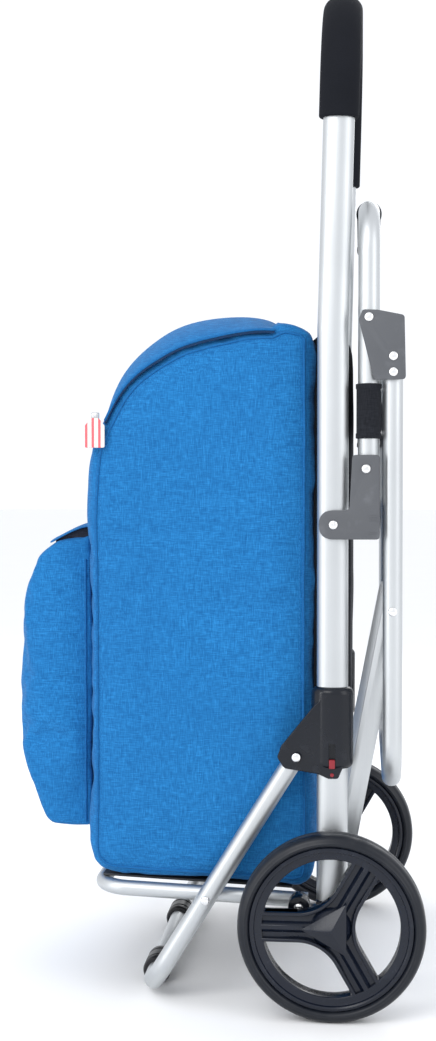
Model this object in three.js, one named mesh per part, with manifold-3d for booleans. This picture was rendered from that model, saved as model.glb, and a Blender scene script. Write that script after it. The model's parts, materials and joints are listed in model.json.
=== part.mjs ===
// Folding shopping trolley: an oval-tube frame on two wheels, a bag on a folding base,
// a front leg on sliding collars, and a seat with a rear leg that folds up behind the frame.
// Millimetres, +Z up. The bag faces -X, the seat is on the +X side, and the axle runs along Y.
// Places are worked out from the axle's centre line (x = 0) and the ground (z = 0); the last
// lines move the whole group so that its origin is the middle of its box, on the ground.
import * as THREE from "three";
import { mergeVertices } from "three/addons/utils/BufferGeometryUtils.js";
import Module from "manifold-3d";

const wasm = await Module();
wasm.setup();

// ---------------------------------------------------------------- driving dimensions
const clearance = 0.3; // between pieces that touch
const running = 0.4; // between pieces that slide or turn on each other

// Main frame: half spacing of the uprights, the oval tube, its bow, and the foam on it.
const frame = { planeY: 177, depth: 32, width: 22, leanFrom: 700, lean: 1.5, bow: 100, top: 1063 };
const foam = { wall: 4.5, from: 913 };
const frameOuter = frame.planeY + frame.width / 2;
const frameInner = frame.planeY - frame.width / 2;

// Wheels stand just outside the uprights.
const wheel = { radius: 95, width: 34, gap: 3 };
wheel.planeY = frameOuter + wheel.gap + wheel.width / 2;
const tyre = { depth: 12, crown: 5 };
const rim = { depth: 12.7, width: 21, spokes: 3, spokeWidth: 21, spokeThick: 11, hub: 21, hubWidth: 28 };
const rimOuter = wheel.radius - tyre.depth - clearance;
const rimInner = rimOuter - rim.depth;
const hubCap = { radius: 31, height: 9 };
const axle = { radius: 5 };
const axleZ = wheel.radius;
const bush = { wall: 3 };
const plug = { depth: 24, width: 14, length: 30 };
const axleBracket = { round: 18.7, ear: 11 };
const frameFoot = axleZ + axleBracket.round + clearance;

// Front leg: runs in the uprights' planes from the collars to the ground.
const foot = { radius: 15, flat: 1, length: 42, planeY: 96, x: -190.5 };
const frontLeg = { radius: 10, planeY: frame.planeY - 1, bend: 40, footZ: foot.radius - foot.flat, overrun: 8 };
const legOuter = frontLeg.planeY + frontLeg.radius;
const legInner = frontLeg.planeY - frontLeg.radius;
const collar = { wall: 5.5, outerWall: 5.2, innerWall: 1.1, bottom: 250, height: 84, tongue: 11, lug: 15 };
const collarHalf = frame.depth / 2 + collar.wall;
const collarTop = collar.bottom + collar.height;
const collarOuter = frameOuter + collar.outerWall;
const collarInner = frameInner - collar.innerWall;
const collarPivot = { x: -(collarHalf + collar.lug), z: collar.bottom + 12.5 };
const latch = { width: 6, height: 9, slot: 15, lift: 1.5, proud: 1.2, seat: 0.6 };

// Base frame: its rails lie inside the front leg, a little higher at the front.
const baseTube = { radius: 8, bend: 30, pivotX: -34, aboveAxle: 12, reach: 212, rise: 9, gap: 1 };
baseTube.planeY = legInner - baseTube.gap - baseTube.radius;
const board = { thick: 2.5, margin: 3, rear: 8, front: 2 };

// Seat: folds down about a pivot on the uprights' axis, from behind them.
const seat = { pivotX: 0.8, pivotZ: 499.5, gap: 9.4, radius: 11, bend: 46, above: 20.5, top: 825 };
seat.tubeX = frame.depth / 2 + seat.gap + seat.radius;
seat.from = seat.pivotZ + seat.above;
const seatBracket = { thick: 3.2, lobe: 14.8, arm: 16.4, over: 0.3, up: 50.5, rivetBack: 2.6, rivetUp: 36.3 };
const sling = { wall: 2, bandFrom: seat.from + 67, bandTo: seat.from + 123, panel: 4, inFromBend: 9 };

// Rear leg: hinges on the seat's side tubes, and its struts run down to the axle.
const hinge = { x: 36.3, z: seat.top - 115.5 };
const rearLeg = { radius: 10, gap: 3.6, top: hinge.z - 25.5, bottom: 234, bend: 46 };
rearLeg.x = seat.tubeX + seat.radius + rearLeg.gap + rearLeg.radius;
rearLeg.planeY = frameOuter - rearLeg.radius;
const legRivets = [hinge.z - 39.5, hinge.z - 55.5];
const strut = { width: 20, thick: 9, outerY: collarInner - running, z: 411.5 };

const rivet = { shank: 3, head: 4.7, headThick: 1.9 };

const bag = { back: -21, front: -258, sideGap: 9, wall: 5, top: 700, corner: 26, shoulder: 125 };
bag.half = frameInner - bag.sideGap;
const crossbar = { radius: 6, z: bag.top + 26 };
const loop = { from: 60, to: 90, wall: 3, root: 14 };
const lid = { hingeX: -60, thick: 24, edge: 8 };
const frontPocket = { depth: 70, inset: 29, bottom: 171, top: 488, wall: 4 };
const rearPocket = { reach: 42, inset: 14, bottom: 285, wall: 3.5 };
const zipTab = { width: 21, height: 29, thick: 2.6, x: -249, drop: 94 };

const sides = [["left", -1], ["right", 1]];

// ---------------------------------------------------------------- materials
const finish = (color, roughness, metalness) => ({ color, roughness, metalness });
const aluminium = finish(0xb9bdbf, 0.35, 0.9);
const steel = finish(0x9a9da0, 0.3, 1);
const foamBlack = finish(0x1c1e24, 0.9, 0);
const blackPlastic = finish(0x26282b, 0.35, 0);
const greyPlastic = finish(0x5b5e63, 0.5, 0);
const wheelPlastic = finish(0x232a36, 0.3, 0);
const tyreRubber = finish(0x1d1f23, 0.7, 0);
const rubber = finish(0x1a1a1c, 0.8, 0);
const redPlastic = finish(0xb3262b, 0.4, 0);
const blueFabric = finish(0x2a7fc4, 0.9, 0);
const blackFabric = finish(0x1a1b1f, 0.9, 0);
const tabFabric = finish(0xe9e2d8, 0.8, 0);

// ---------------------------------------------------------------- shapes
// A closed three.js geometry as a solid that can be joined and cut.
function solid(geometry) {
  const bare = geometry.index ? geometry.toNonIndexed() : geometry.clone();
  bare.deleteAttribute("normal");
  bare.deleteAttribute("uv");
  const merged = mergeVertices(bare, 1e-4);
  return new wasm.Manifold(
    new wasm.Mesh({
      numProp: 3,
      vertProperties: merged.attributes.position.array,
      triVerts: new Uint32Array(merged.index.array),
    }),
  );
}

function geometryOf(body) {
  const mesh = body.getMesh();
  const geometry = new THREE.BufferGeometry();
  geometry.setAttribute("position", new THREE.BufferAttribute(mesh.vertProperties, 3));
  geometry.setIndex(new THREE.BufferAttribute(mesh.triVerts, 1));
  geometry.computeVertexNormals();
  return geometry;
}

const vec = (x, y, z) => new THREE.Vector3(x, y, z);

function block(x0, x1, y0, y1, z0, z1) {
  const box = new THREE.BoxGeometry(x1 - x0, Math.abs(y1 - y0), z1 - z0);
  return solid(box.translate((x0 + x1) / 2, (y0 + y1) / 2, (z0 + z1) / 2));
}

// A round bar between two points.
function rod(from, to, radius, segments = 16) {
  const along = to.clone().sub(from);
  const bar = new THREE.CylinderGeometry(radius, radius, along.length(), segments);
  bar.applyQuaternion(new THREE.Quaternion().setFromUnitVectors(vec(0, 1, 0), along.normalize()));
  const middle = from.clone().add(to).multiplyScalar(0.5);
  return solid(bar.translate(middle.x, middle.y, middle.z));
}

// A bar along Y at (x, z), between two distances from the middle plane.
const pin = (x, z, y0, y1, radius, segments = 12) => rod(vec(x, y0, z), vec(x, y1, z), radius, segments);

// An outline in the XZ plane, given thickness along Y.
function plate(outline, y0, y1) {
  const depth = Math.abs(y1 - y0);
  const body = new THREE.ExtrudeGeometry(outline, { depth, bevelEnabled: false, curveSegments: 6 });
  return solid(body.rotateX(Math.PI / 2).translate(0, Math.max(y0, y1), 0));
}

// A closed outline with rounded corners: each corner is [x, z, radius].
function outline(corners) {
  const shape = new THREE.Shape();
  const count = corners.length;
  corners.forEach(([x, z, radius = 0], i) => {
    const at = new THREE.Vector2(x, z);
    const before = new THREE.Vector2(...corners[(i + count - 1) % count]).sub(at);
    const after = new THREE.Vector2(...corners[(i + 1) % count]).sub(at);
    const angle = Math.abs(before.angleTo(after));
    const cut = Math.min(radius / Math.tan(angle / 2), before.length() / 2.01, after.length() / 2.01);
    const enter = before.setLength(cut || 1e-6).add(at);
    const leave = after.setLength(cut || 1e-6).add(at);
    if (i === 0) shape.moveTo(enter.x, enter.y);
    else shape.lineTo(enter.x, enter.y);
    if (radius) shape.quadraticCurveTo(at.x, at.y, leave.x, leave.y);
  });
  shape.closePath();
  return shape;
}

function ellipse(halfX, halfY) {
  return new THREE.Shape().absellipse(0, 0, halfX, halfY, 0, Math.PI * 2, false, 0);
}

// A curve through fixed stations, one at each step, so that bends get rings and straights don't.
class BentPath extends THREE.Curve {
  constructor(stations) {
    super();
    this.stations = stations;
  }
  getPoint(t) {
    const last = this.stations.length - 1;
    const place = Math.min(Math.max(t, 0), 1) * last;
    const i = Math.min(Math.floor(place + 1e-9), last - 1);
    return this.stations[i].clone().lerp(this.stations[i + 1], place - i);
  }
  getPointAt(u) {
    return this.getPoint(u);
  }
  getTangentAt(u) {
    const last = this.stations.length - 1;
    const i = Math.round(u * last);
    const into = this.stations[i].clone().sub(this.stations[Math.max(i - 1, 0)]).normalize();
    const out = this.stations[Math.min(i + 1, last)].clone().sub(this.stations[i]).normalize();
    return into.add(out).normalize();
  }
}

// Stations of a tube that turns at each corner [x, y, z, radius] on an arc.
function bend(corners, steps = 6) {
  const stations = [];
  corners.forEach(([x, y, z, radius = 0], i) => {
    const at = vec(x, y, z);
    if (!radius) {
      stations.push(at);
      return;
    }
    const back = vec(...corners[i - 1].slice(0, 3)).sub(at).normalize();
    const on = vec(...corners[i + 1].slice(0, 3)).sub(at).normalize();
    const half = back.angleTo(on) / 2;
    const centre = back.clone().add(on).normalize().multiplyScalar(radius / Math.sin(half)).add(at);
    const start = back.clone().multiplyScalar(radius / Math.tan(half)).add(at).sub(centre);
    const turn = Math.PI - 2 * half;
    const pivot = back.clone().negate().cross(on).normalize();
    for (let k = 0; k <= steps; k++)
      stations.push(start.clone().applyAxisAngle(pivot, (turn * k) / steps).add(centre));
  });
  return stations;
}

// A section swept along the stations; a round section gets twice as many sides as curveSegments.
function tube(stations, section, curveSegments = 7) {
  const settings = { steps: stations.length - 1, extrudePath: new BentPath(stations), curveSegments };
  return solid(new THREE.ExtrudeGeometry(section, settings));
}

const roundTube = (stations, radius) => tube(stations, ellipse(radius, radius));

// A ring or disc turned about the Y axis through (x, z): the profile is [radius, y] pairs.
function turned(profile, x, y, z, segments = 40) {
  const points = profile.map(([r, at]) => new THREE.Vector2(r, at));
  return solid(new THREE.LatheGeometry(points, segments).translate(x, y, z));
}

function closedRing(inner, outer, y0, y1, x, y, z, segments) {
  const profile = [[inner, y0], [outer, y0], [outer, y1], [inner, y1], [inner, y0]];
  return turned(profile, x, y, z, segments);
}

// ---------------------------------------------------------------- the group
const trolley = new THREE.Group();
trolley.name = "shopping_trolley";

function piece(name, body, look) {
  const mesh = new THREE.Mesh(geometryOf(body), new THREE.MeshStandardMaterial(look));
  mesh.name = name;
  trolley.add(mesh);
}

// A rivet along Y: its shank runs from the outer face to the inner one, with a domed head at
// each end that is asked for. Distances are from the middle plane, on one side.
function rivetBody(side, x, z, outer, inner, heads = "both") {
  let body = pin(x, z, side * outer, side * inner, rivet.shank);
  const dome = (face, away) => {
    const y0 = face;
    const y1 = face + away * rivet.headThick;
    const geometry = new THREE.CylinderGeometry(rivet.head * 0.7, rivet.head, rivet.headThick, 12);
    if (side * (y1 - y0) < 0) geometry.rotateX(Math.PI);
    return solid(geometry.translate(x, (side * (y0 + y1)) / 2, z));
  };
  if (heads !== "inner") body = body.add(dome(outer - rivet.headThick * 0.02, 1));
  if (heads !== "outer") body = body.add(dome(inner + rivet.headThick * 0.02, -1));
  return body;
}

// The hole that a rivet or pin needs through a piece.
const hole = (side, x, z, outer, inner, radius = rivet.shank) =>
  pin(x, z, side * (outer + 1), side * (inner - 1), radius + clearance);

const plateInner = frameOuter + clearance;
const plateOuter = plateInner + seatBracket.thick;
const headClear = clearance;

// ---------------------------------------------------------------- main frame
const bowZ = frame.top - foam.wall - frame.width / 2;
const leanX = (z) => Math.max(z - frame.leanFrom, 0) * Math.tan(THREE.MathUtils.degToRad(frame.lean));

function frameStations(from) {
  const start = [leanX(from), from];
  const lower = from < frame.leanFrom ? [[0, frame.leanFrom]] : [];
  const up = [start, ...lower].map(([x, z]) => [x, -frame.planeY, z]);
  const corner = (side) => [leanX(bowZ), side * frame.planeY, bowZ, frame.bow];
  const down = [...up].reverse().map(([x, , z]) => [x, frame.planeY, z]);
  return bend([...up, corner(-1), corner(1), ...down]);
}

// The sweep's first axis runs across the frame, so the oval's depth is its second one.
const oval = (grow) => ellipse(frame.width / 2 + grow, frame.depth / 2 + grow);

let frameTube = tube(frameStations(frameFoot), oval(0));
for (const [, side] of sides) {
  const plugHole = (grow) =>
    tube(
      [vec(0, side * frame.planeY, frameFoot - 5), vec(0, side * frame.planeY, frameFoot + plug.length + grow)],
      ellipse(plug.width / 2 + grow, plug.depth / 2 + grow),
      5,
    );
  frameTube = frameTube.subtract(plugHole(clearance));
  frameTube = frameTube.subtract(hole(side, seat.pivotX, seat.pivotZ, frameOuter, frameInner));
}
piece("main_frame_tube", frameTube, aluminium);

const foamSection = oval(foam.wall);
foamSection.holes.push(oval(clearance));
piece("handle_foam_grip", tube(frameStations(foam.from), foamSection), foamBlack);

const crossbarEnd = frameInner - clearance;
const crossbarX = leanX(crossbar.z);
piece("upper_crossbar", pin(crossbarX, crossbar.z, -crossbarEnd, crossbarEnd, crossbar.radius, 16), aluminium);

// ---------------------------------------------------------------- axle and wheels
const basePivotZ = axleZ + baseTube.aboveAxle;
const hubOuter = wheel.planeY + rim.hubWidth / 2;
const hubInner = wheel.planeY - rim.hubWidth / 2;
piece("axle_rod", pin(0, axleZ, -(hubOuter - 1), hubOuter - 1, axle.radius, 18), steel);

for (const [name, side] of sides) {
  const top = frameFoot - clearance;
  const round = pin(0, axleZ, side * frameOuter, side * frameInner, axleBracket.round, 24);
  const neck = block(-frame.depth / 2, frame.depth / 2, side * frameOuter, side * frameInner, axleZ, top);
  const ear = pin(baseTube.pivotX, basePivotZ, side * frameOuter, side * frameInner, axleBracket.ear, 16);
  const web = plate(
    outline([
      [0, axleZ - axleBracket.round * 0.8],
      [baseTube.pivotX, basePivotZ - axleBracket.ear * 0.95],
      [baseTube.pivotX, basePivotZ],
      [0, axleZ + axleBracket.round * 0.5],
    ]),
    side * frameOuter,
    side * frameInner,
  );
  const spigot = tube(
    [vec(0, side * frame.planeY, top - 2), vec(0, side * frame.planeY, frameFoot + plug.length)],
    ellipse(plug.width / 2, plug.depth / 2),
    5,
  );
  const body = round
    .add(neck)
    .add(ear)
    .add(web)
    .add(spigot)
    .subtract(pin(0, axleZ, side * (frameOuter + 1), side * (frameInner - 1), axle.radius + clearance, 18))
    .subtract(hole(side, baseTube.pivotX, basePivotZ, frameOuter, frameInner));
  piece(`axle_bracket_${name}`, body, blackPlastic);
}

// Tyre profile: a crowned tread with a shallow groove on each shoulder, bonded to the rim's seat.
const seatRadius = wheel.radius - tyre.depth;
const halfTyre = wheel.width / 2;
const tyreProfile = [
  [seatRadius, -halfTyre + tyre.crown],
  [seatRadius + tyre.crown, -halfTyre],
  [wheel.radius - tyre.crown, -halfTyre],
  [wheel.radius, -halfTyre + tyre.crown],
  [wheel.radius, halfTyre - tyre.crown],
  [wheel.radius - tyre.crown, halfTyre],
  [seatRadius + tyre.crown, halfTyre],
  [seatRadius, halfTyre - tyre.crown],
  [seatRadius, -halfTyre + tyre.crown],
];
const halfRim = rim.width / 2;

function wheelRim(side) {
  const ring = closedRing(rimInner, rimOuter, -halfRim, halfRim, 0, side * wheel.planeY, axleZ, 40);
  const thick = [side * (wheel.planeY - rim.spokeThick / 2), side * (wheel.planeY + rim.spokeThick / 2)];
  let body = ring.add(pin(0, axleZ, side * hubInner, side * hubOuter, rim.hub, 24));
  for (let k = 0; k < rim.spokes; k++) {
    const spoke = new THREE.Shape();
    const narrow = rim.spokeWidth / 2;
    const root = narrow * 1.9;
    const end = rimInner + 3;
    spoke.moveTo(-rim.hub * 0.3, -narrow);
    spoke.lineTo(end * 0.66, -narrow);
    spoke.quadraticCurveTo(end * 0.86, -narrow * 1.1, end * 0.97, -root);
    spoke.lineTo(end * 0.97, root);
    spoke.quadraticCurveTo(end * 0.86, narrow * 1.1, end * 0.66, narrow);
    spoke.lineTo(-rim.hub * 0.3, narrow);
    spoke.closePath();
    const turn = Math.PI - (2 * Math.PI * k) / rim.spokes;
    const geometry = new THREE.ExtrudeGeometry(spoke, { depth: rim.spokeThick, bevelEnabled: false, curveSegments: 4 });
    geometry.rotateX(Math.PI / 2).rotateY(-turn).translate(0, Math.max(...thick), axleZ);
    body = body.add(solid(geometry));
  }
  return body.subtract(
    pin(0, axleZ, side * (hubInner - 1), side * (hubOuter + 1), axle.radius + running + bush.wall + clearance, 18),
  );
}

for (const [name, side] of sides) {
  piece(`tyre_${name}`, turned(tyreProfile, 0, side * wheel.planeY, axleZ), tyreRubber);
  piece(`wheel_rim_${name}`, wheelRim(side), wheelPlastic);
  const bore = axle.radius + running;
  const bushRing = closedRing(bore, bore + bush.wall, -rim.hubWidth / 2, rim.hubWidth / 2, 0, side * wheel.planeY, axleZ, 18);
  piece(`wheel_bush_${name}`, bushRing, greyPlastic);
  // The cap is a low three-sided pyramid, with a ridge down each spoke.
  const cone = new THREE.ConeGeometry(hubCap.radius, hubCap.height, rim.spokes);
  cone.rotateY(-Math.PI / 2);
  if (side < 0) cone.rotateX(Math.PI);
  cone.translate(0, side * (hubOuter + clearance + hubCap.height / 2), axleZ);
  piece(`hub_cap_${name}`, solid(cone), wheelPlastic);
}

// ---------------------------------------------------------------- base frame
const baseFrontX = baseTube.pivotX - baseTube.reach;
const baseFrontZ = basePivotZ + baseTube.rise;
const baseZ = (x) => basePivotZ + (baseTube.rise * (baseTube.pivotX - x)) / baseTube.reach;
const baseEnd = baseTube.pivotX + baseTube.radius;
const baseCorner = (side) => [baseFrontX, side * baseTube.planeY, baseFrontZ, baseTube.bend];
const baseStations = bend([
  [baseEnd, -baseTube.planeY, baseZ(baseEnd)],
  baseCorner(-1),
  baseCorner(1),
  [baseEnd, baseTube.planeY, baseZ(baseEnd)],
]);

const legAt = (share) => ({
  x: collarPivot.x + (foot.x - collarPivot.x) * share,
  z: collarPivot.z + (frontLeg.footZ - collarPivot.z) * share,
});
// The leg is linked to the base rail where their axes cross, seen from the side.
const slope = baseTube.rise / baseTube.reach;
const linkShare =
  (baseZ(collarPivot.x) - collarPivot.z) /
  (frontLeg.footZ - collarPivot.z + slope * (foot.x - collarPivot.x));
const link = legAt(linkShare);

const baseOuter = baseTube.planeY + baseTube.radius;
const baseInner = baseTube.planeY - baseTube.radius;
let baseBody = roundTube(baseStations, baseTube.radius);
for (const [, side] of sides) {
  baseBody = baseBody.subtract(hole(side, baseTube.pivotX, basePivotZ, baseOuter, baseInner));
  baseBody = baseBody.subtract(hole(side, link.x, link.z, baseOuter, baseInner));
}
piece("base_frame_tube", baseBody, aluminium);

const boardTilt = Math.atan2(baseTube.rise, baseTube.reach);
const boardHalf = baseInner - board.margin;
const boardLift = (baseTube.radius + clearance) / Math.cos(boardTilt);
const boardRear = baseTube.pivotX - board.rear;
const boardFront = baseFrontX + board.front;
const boardEdge = (x, up) => [x, baseZ(x) + boardLift + up];
piece(
  "base_board",
  plate(
    outline([
      boardEdge(boardFront, 0),
      boardEdge(boardRear, 0),
      boardEdge(boardRear, board.thick),
      boardEdge(boardFront, board.thick),
    ]),
    -boardHalf,
    boardHalf,
  ),
  blackPlastic,
);

for (const [name, side] of sides) {
  const outer = frameOuter + headClear;
  const inner = baseInner - headClear;
  piece(`base_pivot_pin_${name}`, rivetBody(side, baseTube.pivotX, basePivotZ, outer, inner), steel);
}

// ---------------------------------------------------------------- collars and front leg
const latchZ = collar.bottom + latch.lift;
const slotBottom = latchZ - clearance * 2;
const slotTop = slotBottom + latch.slot;

for (const [name, side] of sides) {
  const { x, z } = collarPivot;
  const face = outline([
    [x + 21.5, collarTop - 4, 4],
    [x + 5.5, z + 53.5, 20],
    [x - 10.5, z + 28.5, 20],
    [x - 20.5, z + 0.5, 8],
    [x - 15.5, z - 6.5, 6],
    [x + 6.5, z - 12.5, 10],
    [-12, collar.bottom - 2.5, 6],
    [0, collar.bottom - collar.tongue, 5],
    [14, collar.bottom - 1, 6],
    [collarHalf, z, 8],
    [collarHalf, collarTop, 4],
    [x + 21.5, collarTop, 2],
  ]);
  const cheek = plate(face, side * collarOuter, side * (legOuter + running));
  const sleeve = plate(
    outline([
      [-collarHalf, collar.bottom + 12, 3],
      [-collarHalf + 6, collar.bottom, 3],
      [collarHalf - 6, collar.bottom, 3],
      [collarHalf, collar.bottom + 12, 3],
      [collarHalf, collarTop, 3],
      [-collarHalf, collarTop, 3],
    ]),
    side * collarOuter,
    side * collarInner,
  );
  const bore = tube(
    [vec(0, side * frame.planeY, collar.bottom - collar.tongue - 5), vec(0, side * frame.planeY, collarTop + 5)],
    oval(running),
  );
  const half = latch.width / 2 + clearance;
  const slot = block(-half, half, side * (collarOuter + 1), side * (frameOuter - 1), slotBottom, slotTop);
  const body = sleeve
    .add(cheek)
    .subtract(bore)
    .subtract(slot)
    .subtract(hole(side, collarPivot.x, collarPivot.z, collarOuter, legInner));
  piece(`collar_${name}`, body, blackPlastic);
  const button = block(
    -latch.width / 2,
    latch.width / 2,
    side * (collarOuter + latch.proud),
    side * (frameOuter + latch.seat),
    latchZ,
    latchZ + latch.height,
  );
  piece(`collar_latch_${name}`, button, redPlastic);
}

const legLength = Math.hypot(foot.x - collarPivot.x, frontLeg.footZ - collarPivot.z);
const legTop = legAt(-frontLeg.overrun / legLength);
const legCorner = (side) => [foot.x, side * frontLeg.planeY, frontLeg.footZ, frontLeg.bend];
let legBody = roundTube(
  bend([
    [legTop.x, -frontLeg.planeY, legTop.z],
    legCorner(-1),
    legCorner(1),
    [legTop.x, frontLeg.planeY, legTop.z],
  ]),
  frontLeg.radius,
);
for (const [, side] of sides) {
  legBody = legBody.subtract(hole(side, collarPivot.x, collarPivot.z, legOuter, legInner));
  legBody = legBody.subtract(hole(side, link.x, link.z, legOuter, legInner));
}
piece("front_leg_tube", legBody, aluminium);

for (const [name, side] of sides) {
  const y0 = side * (foot.planeY - foot.length / 2);
  const y1 = side * (foot.planeY + foot.length / 2);
  const body = pin(foot.x, frontLeg.footZ, y0, y1, foot.radius, 24)
    .subtract(pin(foot.x, frontLeg.footZ, y0 - side, y1 + side, frontLeg.radius + clearance, 14))
    .subtract(block(foot.x - 30, foot.x + 30, y0 - side, y1 + side, -10, 0));
  piece(`front_foot_${name}`, body, rubber);
  const outer = collarOuter + headClear;
  const inner = legInner - headClear;
  piece(`collar_leg_rivet_${name}`, rivetBody(side, collarPivot.x, collarPivot.z, outer, inner), steel);
  // The link between leg and base rail is two studs that meet between the tubes.
  const middle = (legInner + baseOuter) / 2;
  const legStud = rivetBody(side, link.x, link.z, legOuter + headClear, middle + clearance / 2, "outer");
  piece(`leg_link_rivet_${name}`, legStud, steel);
  const baseStud = rivetBody(side, link.x, link.z, middle - clearance / 2, baseInner - headClear, "inner");
  piece(`base_link_rivet_${name}`, baseStud, steel);
}

// ---------------------------------------------------------------- seat
const seatRivet = { x: seat.tubeX - seatBracket.rivetBack, z: seat.from + seatBracket.rivetUp };
const armBack = seat.tubeX - seatBracket.arm;
const armFront = seat.tubeX + seat.radius + seatBracket.over;
const seatOuter = frame.planeY + seat.radius;
const seatInner = frame.planeY - seat.radius;
const seatCorner = (side) => [seat.tubeX, side * frame.planeY, seat.top, seat.bend];
let seatTube = roundTube(
  bend([
    [seat.tubeX, -frame.planeY, seat.from],
    seatCorner(-1),
    seatCorner(1),
    [seat.tubeX, frame.planeY, seat.from],
  ]),
  seat.radius,
);
for (const [, side] of sides) {
  seatTube = seatTube.subtract(hole(side, seatRivet.x, seatRivet.z, seatOuter, seatInner));
  seatTube = seatTube.subtract(hole(side, hinge.x, hinge.z, seatOuter, seatInner));
}
piece("seat_frame_tube", seatTube, aluminium);

// The sling is a panel between the side tubes, with a band round each and a sleeve on the crossbar.
const slingRadius = seat.radius + clearance + sling.wall;
const slingHole = seat.radius + clearance;
const sleeveHalf = frame.planeY - seat.bend - sling.inFromBend;
let slingBody = block(
  seat.tubeX - sling.panel / 2,
  seat.tubeX + sling.panel / 2,
  -(seatInner + 1),
  seatInner + 1,
  sling.bandFrom,
  sling.bandTo,
).add(
  block(
    seat.tubeX - sling.panel / 2,
    seat.tubeX + sling.panel / 2,
    -(seatInner - 4),
    seatInner - 4,
    sling.bandFrom,
    seat.top - seat.bend,
  ),
).add(
  block(
    seat.tubeX - sling.panel / 2,
    seat.tubeX + sling.panel / 2,
    -sleeveHalf,
    sleeveHalf,
    seat.top - seat.bend - 1,
    seat.top - seat.radius,
  ),
);
slingBody = slingBody.add(
  rod(vec(seat.tubeX, -sleeveHalf, seat.top), vec(seat.tubeX, sleeveHalf, seat.top), slingRadius),
);
slingBody = slingBody.subtract(
  rod(vec(seat.tubeX, -frame.planeY, seat.top), vec(seat.tubeX, frame.planeY, seat.top), slingHole, 14),
);
for (const [, side] of sides) {
  const at = (z) => vec(seat.tubeX, side * frame.planeY, z);
  slingBody = slingBody.add(rod(at(sling.bandFrom), at(sling.bandTo), slingRadius));
  slingBody = slingBody.subtract(rod(at(seat.from), at(seat.top - seat.bend), slingHole, 14));
}
piece("seat_sling", slingBody, blackFabric);

for (const [name, side] of sides) {
  const { lobe } = seatBracket;
  const body = plate(
    outline([
      [seat.pivotX - lobe, seat.pivotZ - lobe, lobe],
      [armFront, seat.pivotZ - lobe, 4],
      [armFront, seat.from + seatBracket.up, 4],
      [armBack, seat.from + seatBracket.up, 4],
      [armBack - 3, seat.pivotZ + lobe, 5],
      [seat.pivotX - lobe, seat.pivotZ + lobe, lobe],
    ]),
    side * plateOuter,
    side * plateInner,
  )
    .subtract(hole(side, seat.pivotX, seat.pivotZ, plateOuter, plateInner))
    .subtract(hole(side, seatRivet.x, seatRivet.z, plateOuter, plateInner));
  piece(`seat_pivot_bracket_${name}`, body, greyPlastic);
  const outer = plateOuter + headClear;
  const pivotPin = rivetBody(side, seat.pivotX, seat.pivotZ, outer, frameInner - headClear);
  piece(`seat_pivot_pin_${name}`, pivotPin, steel);
  const fixing = rivetBody(side, seatRivet.x, seatRivet.z, outer, seatInner - headClear);
  piece(`seat_bracket_rivet_${name}`, fixing, steel);
}

// ---------------------------------------------------------------- rear leg and struts
const rearOuter = rearLeg.planeY + rearLeg.radius;
const rearInner = rearLeg.planeY - rearLeg.radius;
const strutInner = strut.outerY - strut.thick;
const strutTop = { x: rearLeg.x, z: strut.z };
const rearCorner = (side) => [rearLeg.x, side * rearLeg.planeY, rearLeg.bottom, rearLeg.bend];
let rearBody = roundTube(
  bend([
    [rearLeg.x, -rearLeg.planeY, rearLeg.top],
    rearCorner(-1),
    rearCorner(1),
    [rearLeg.x, rearLeg.planeY, rearLeg.top],
  ]),
  rearLeg.radius,
);
for (const [, side] of sides)
  for (const z of [...legRivets, strut.z])
    rearBody = rearBody.subtract(hole(side, rearLeg.x, z, rearOuter, rearInner));
piece("rear_leg_tube", rearBody, aluminium);

for (const [name, side] of sides) {
  const legEdge = rearLeg.x + rearLeg.radius;
  const body = plate(
    outline([
      [hinge.x - 10.3, hinge.z - 2.5, 3],
      [hinge.x - 6.3, hinge.z + 7.5, 3],
      [hinge.x + 8.7, hinge.z + 7, 2],
      [legEdge + 1, hinge.z + 1.5, 4],
      [legEdge + 2.5, legRivets[1] - 7.5, 4],
      [hinge.x + 5.2, legRivets[1] - 8, 4],
    ]),
    side * plateOuter,
    side * plateInner,
  )
    .subtract(hole(side, hinge.x, hinge.z, plateOuter, plateInner))
    .subtract(hole(side, rearLeg.x, legRivets[0], plateOuter, plateInner))
    .subtract(hole(side, rearLeg.x, legRivets[1], plateOuter, plateInner));
  piece(`leg_hinge_bracket_${name}`, body, greyPlastic);
  const outer = plateOuter + headClear;
  piece(`leg_hinge_pin_${name}`, rivetBody(side, hinge.x, hinge.z, outer, seatInner - headClear), steel);
  ["upper", "lower"].forEach((place, k) => {
    const fixing = rivetBody(side, rearLeg.x, legRivets[k], outer, rearInner - headClear);
    piece(`leg_bracket_rivet_${place}_${name}`, fixing, steel);
  });

  // A flat bar with round ends, from the axle to the leg.
  const across = vec(strutTop.x, 0, strutTop.z - axleZ);
  const half = strut.width / 2;
  const normal = vec(across.z, 0, -across.x).normalize().multiplyScalar(half);
  const bar = plate(
    outline([
      [normal.x, axleZ + normal.z],
      [strutTop.x + normal.x, strutTop.z + normal.z],
      [strutTop.x - normal.x, strutTop.z - normal.z],
      [-normal.x, axleZ - normal.z],
    ]),
    side * strut.outerY,
    side * strutInner,
  )
    .add(pin(0, axleZ, side * strut.outerY, side * strutInner, half, 20))
    .add(pin(strutTop.x, strutTop.z, side * strut.outerY, side * strutInner, half, 20))
    .subtract(pin(0, axleZ, side * (strut.outerY + 1), side * (strutInner - 1), axle.radius + running, 18))
    .subtract(hole(side, strutTop.x, strutTop.z, strut.outerY, strutInner));
  piece(`strut_${name}`, bar, aluminium);

  const middle = (rearInner + strut.outerY) / 2;
  const legStud = rivetBody(side, strutTop.x, strutTop.z, rearOuter + headClear, middle + clearance, "outer");
  piece(`leg_strut_rivet_${name}`, legStud, steel);
  const barStud = rivetBody(side, strutTop.x, strutTop.z, middle - clearance, strutInner - headClear, "inner");
  piece(`strut_rivet_${name}`, barStud, steel);
}

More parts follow.
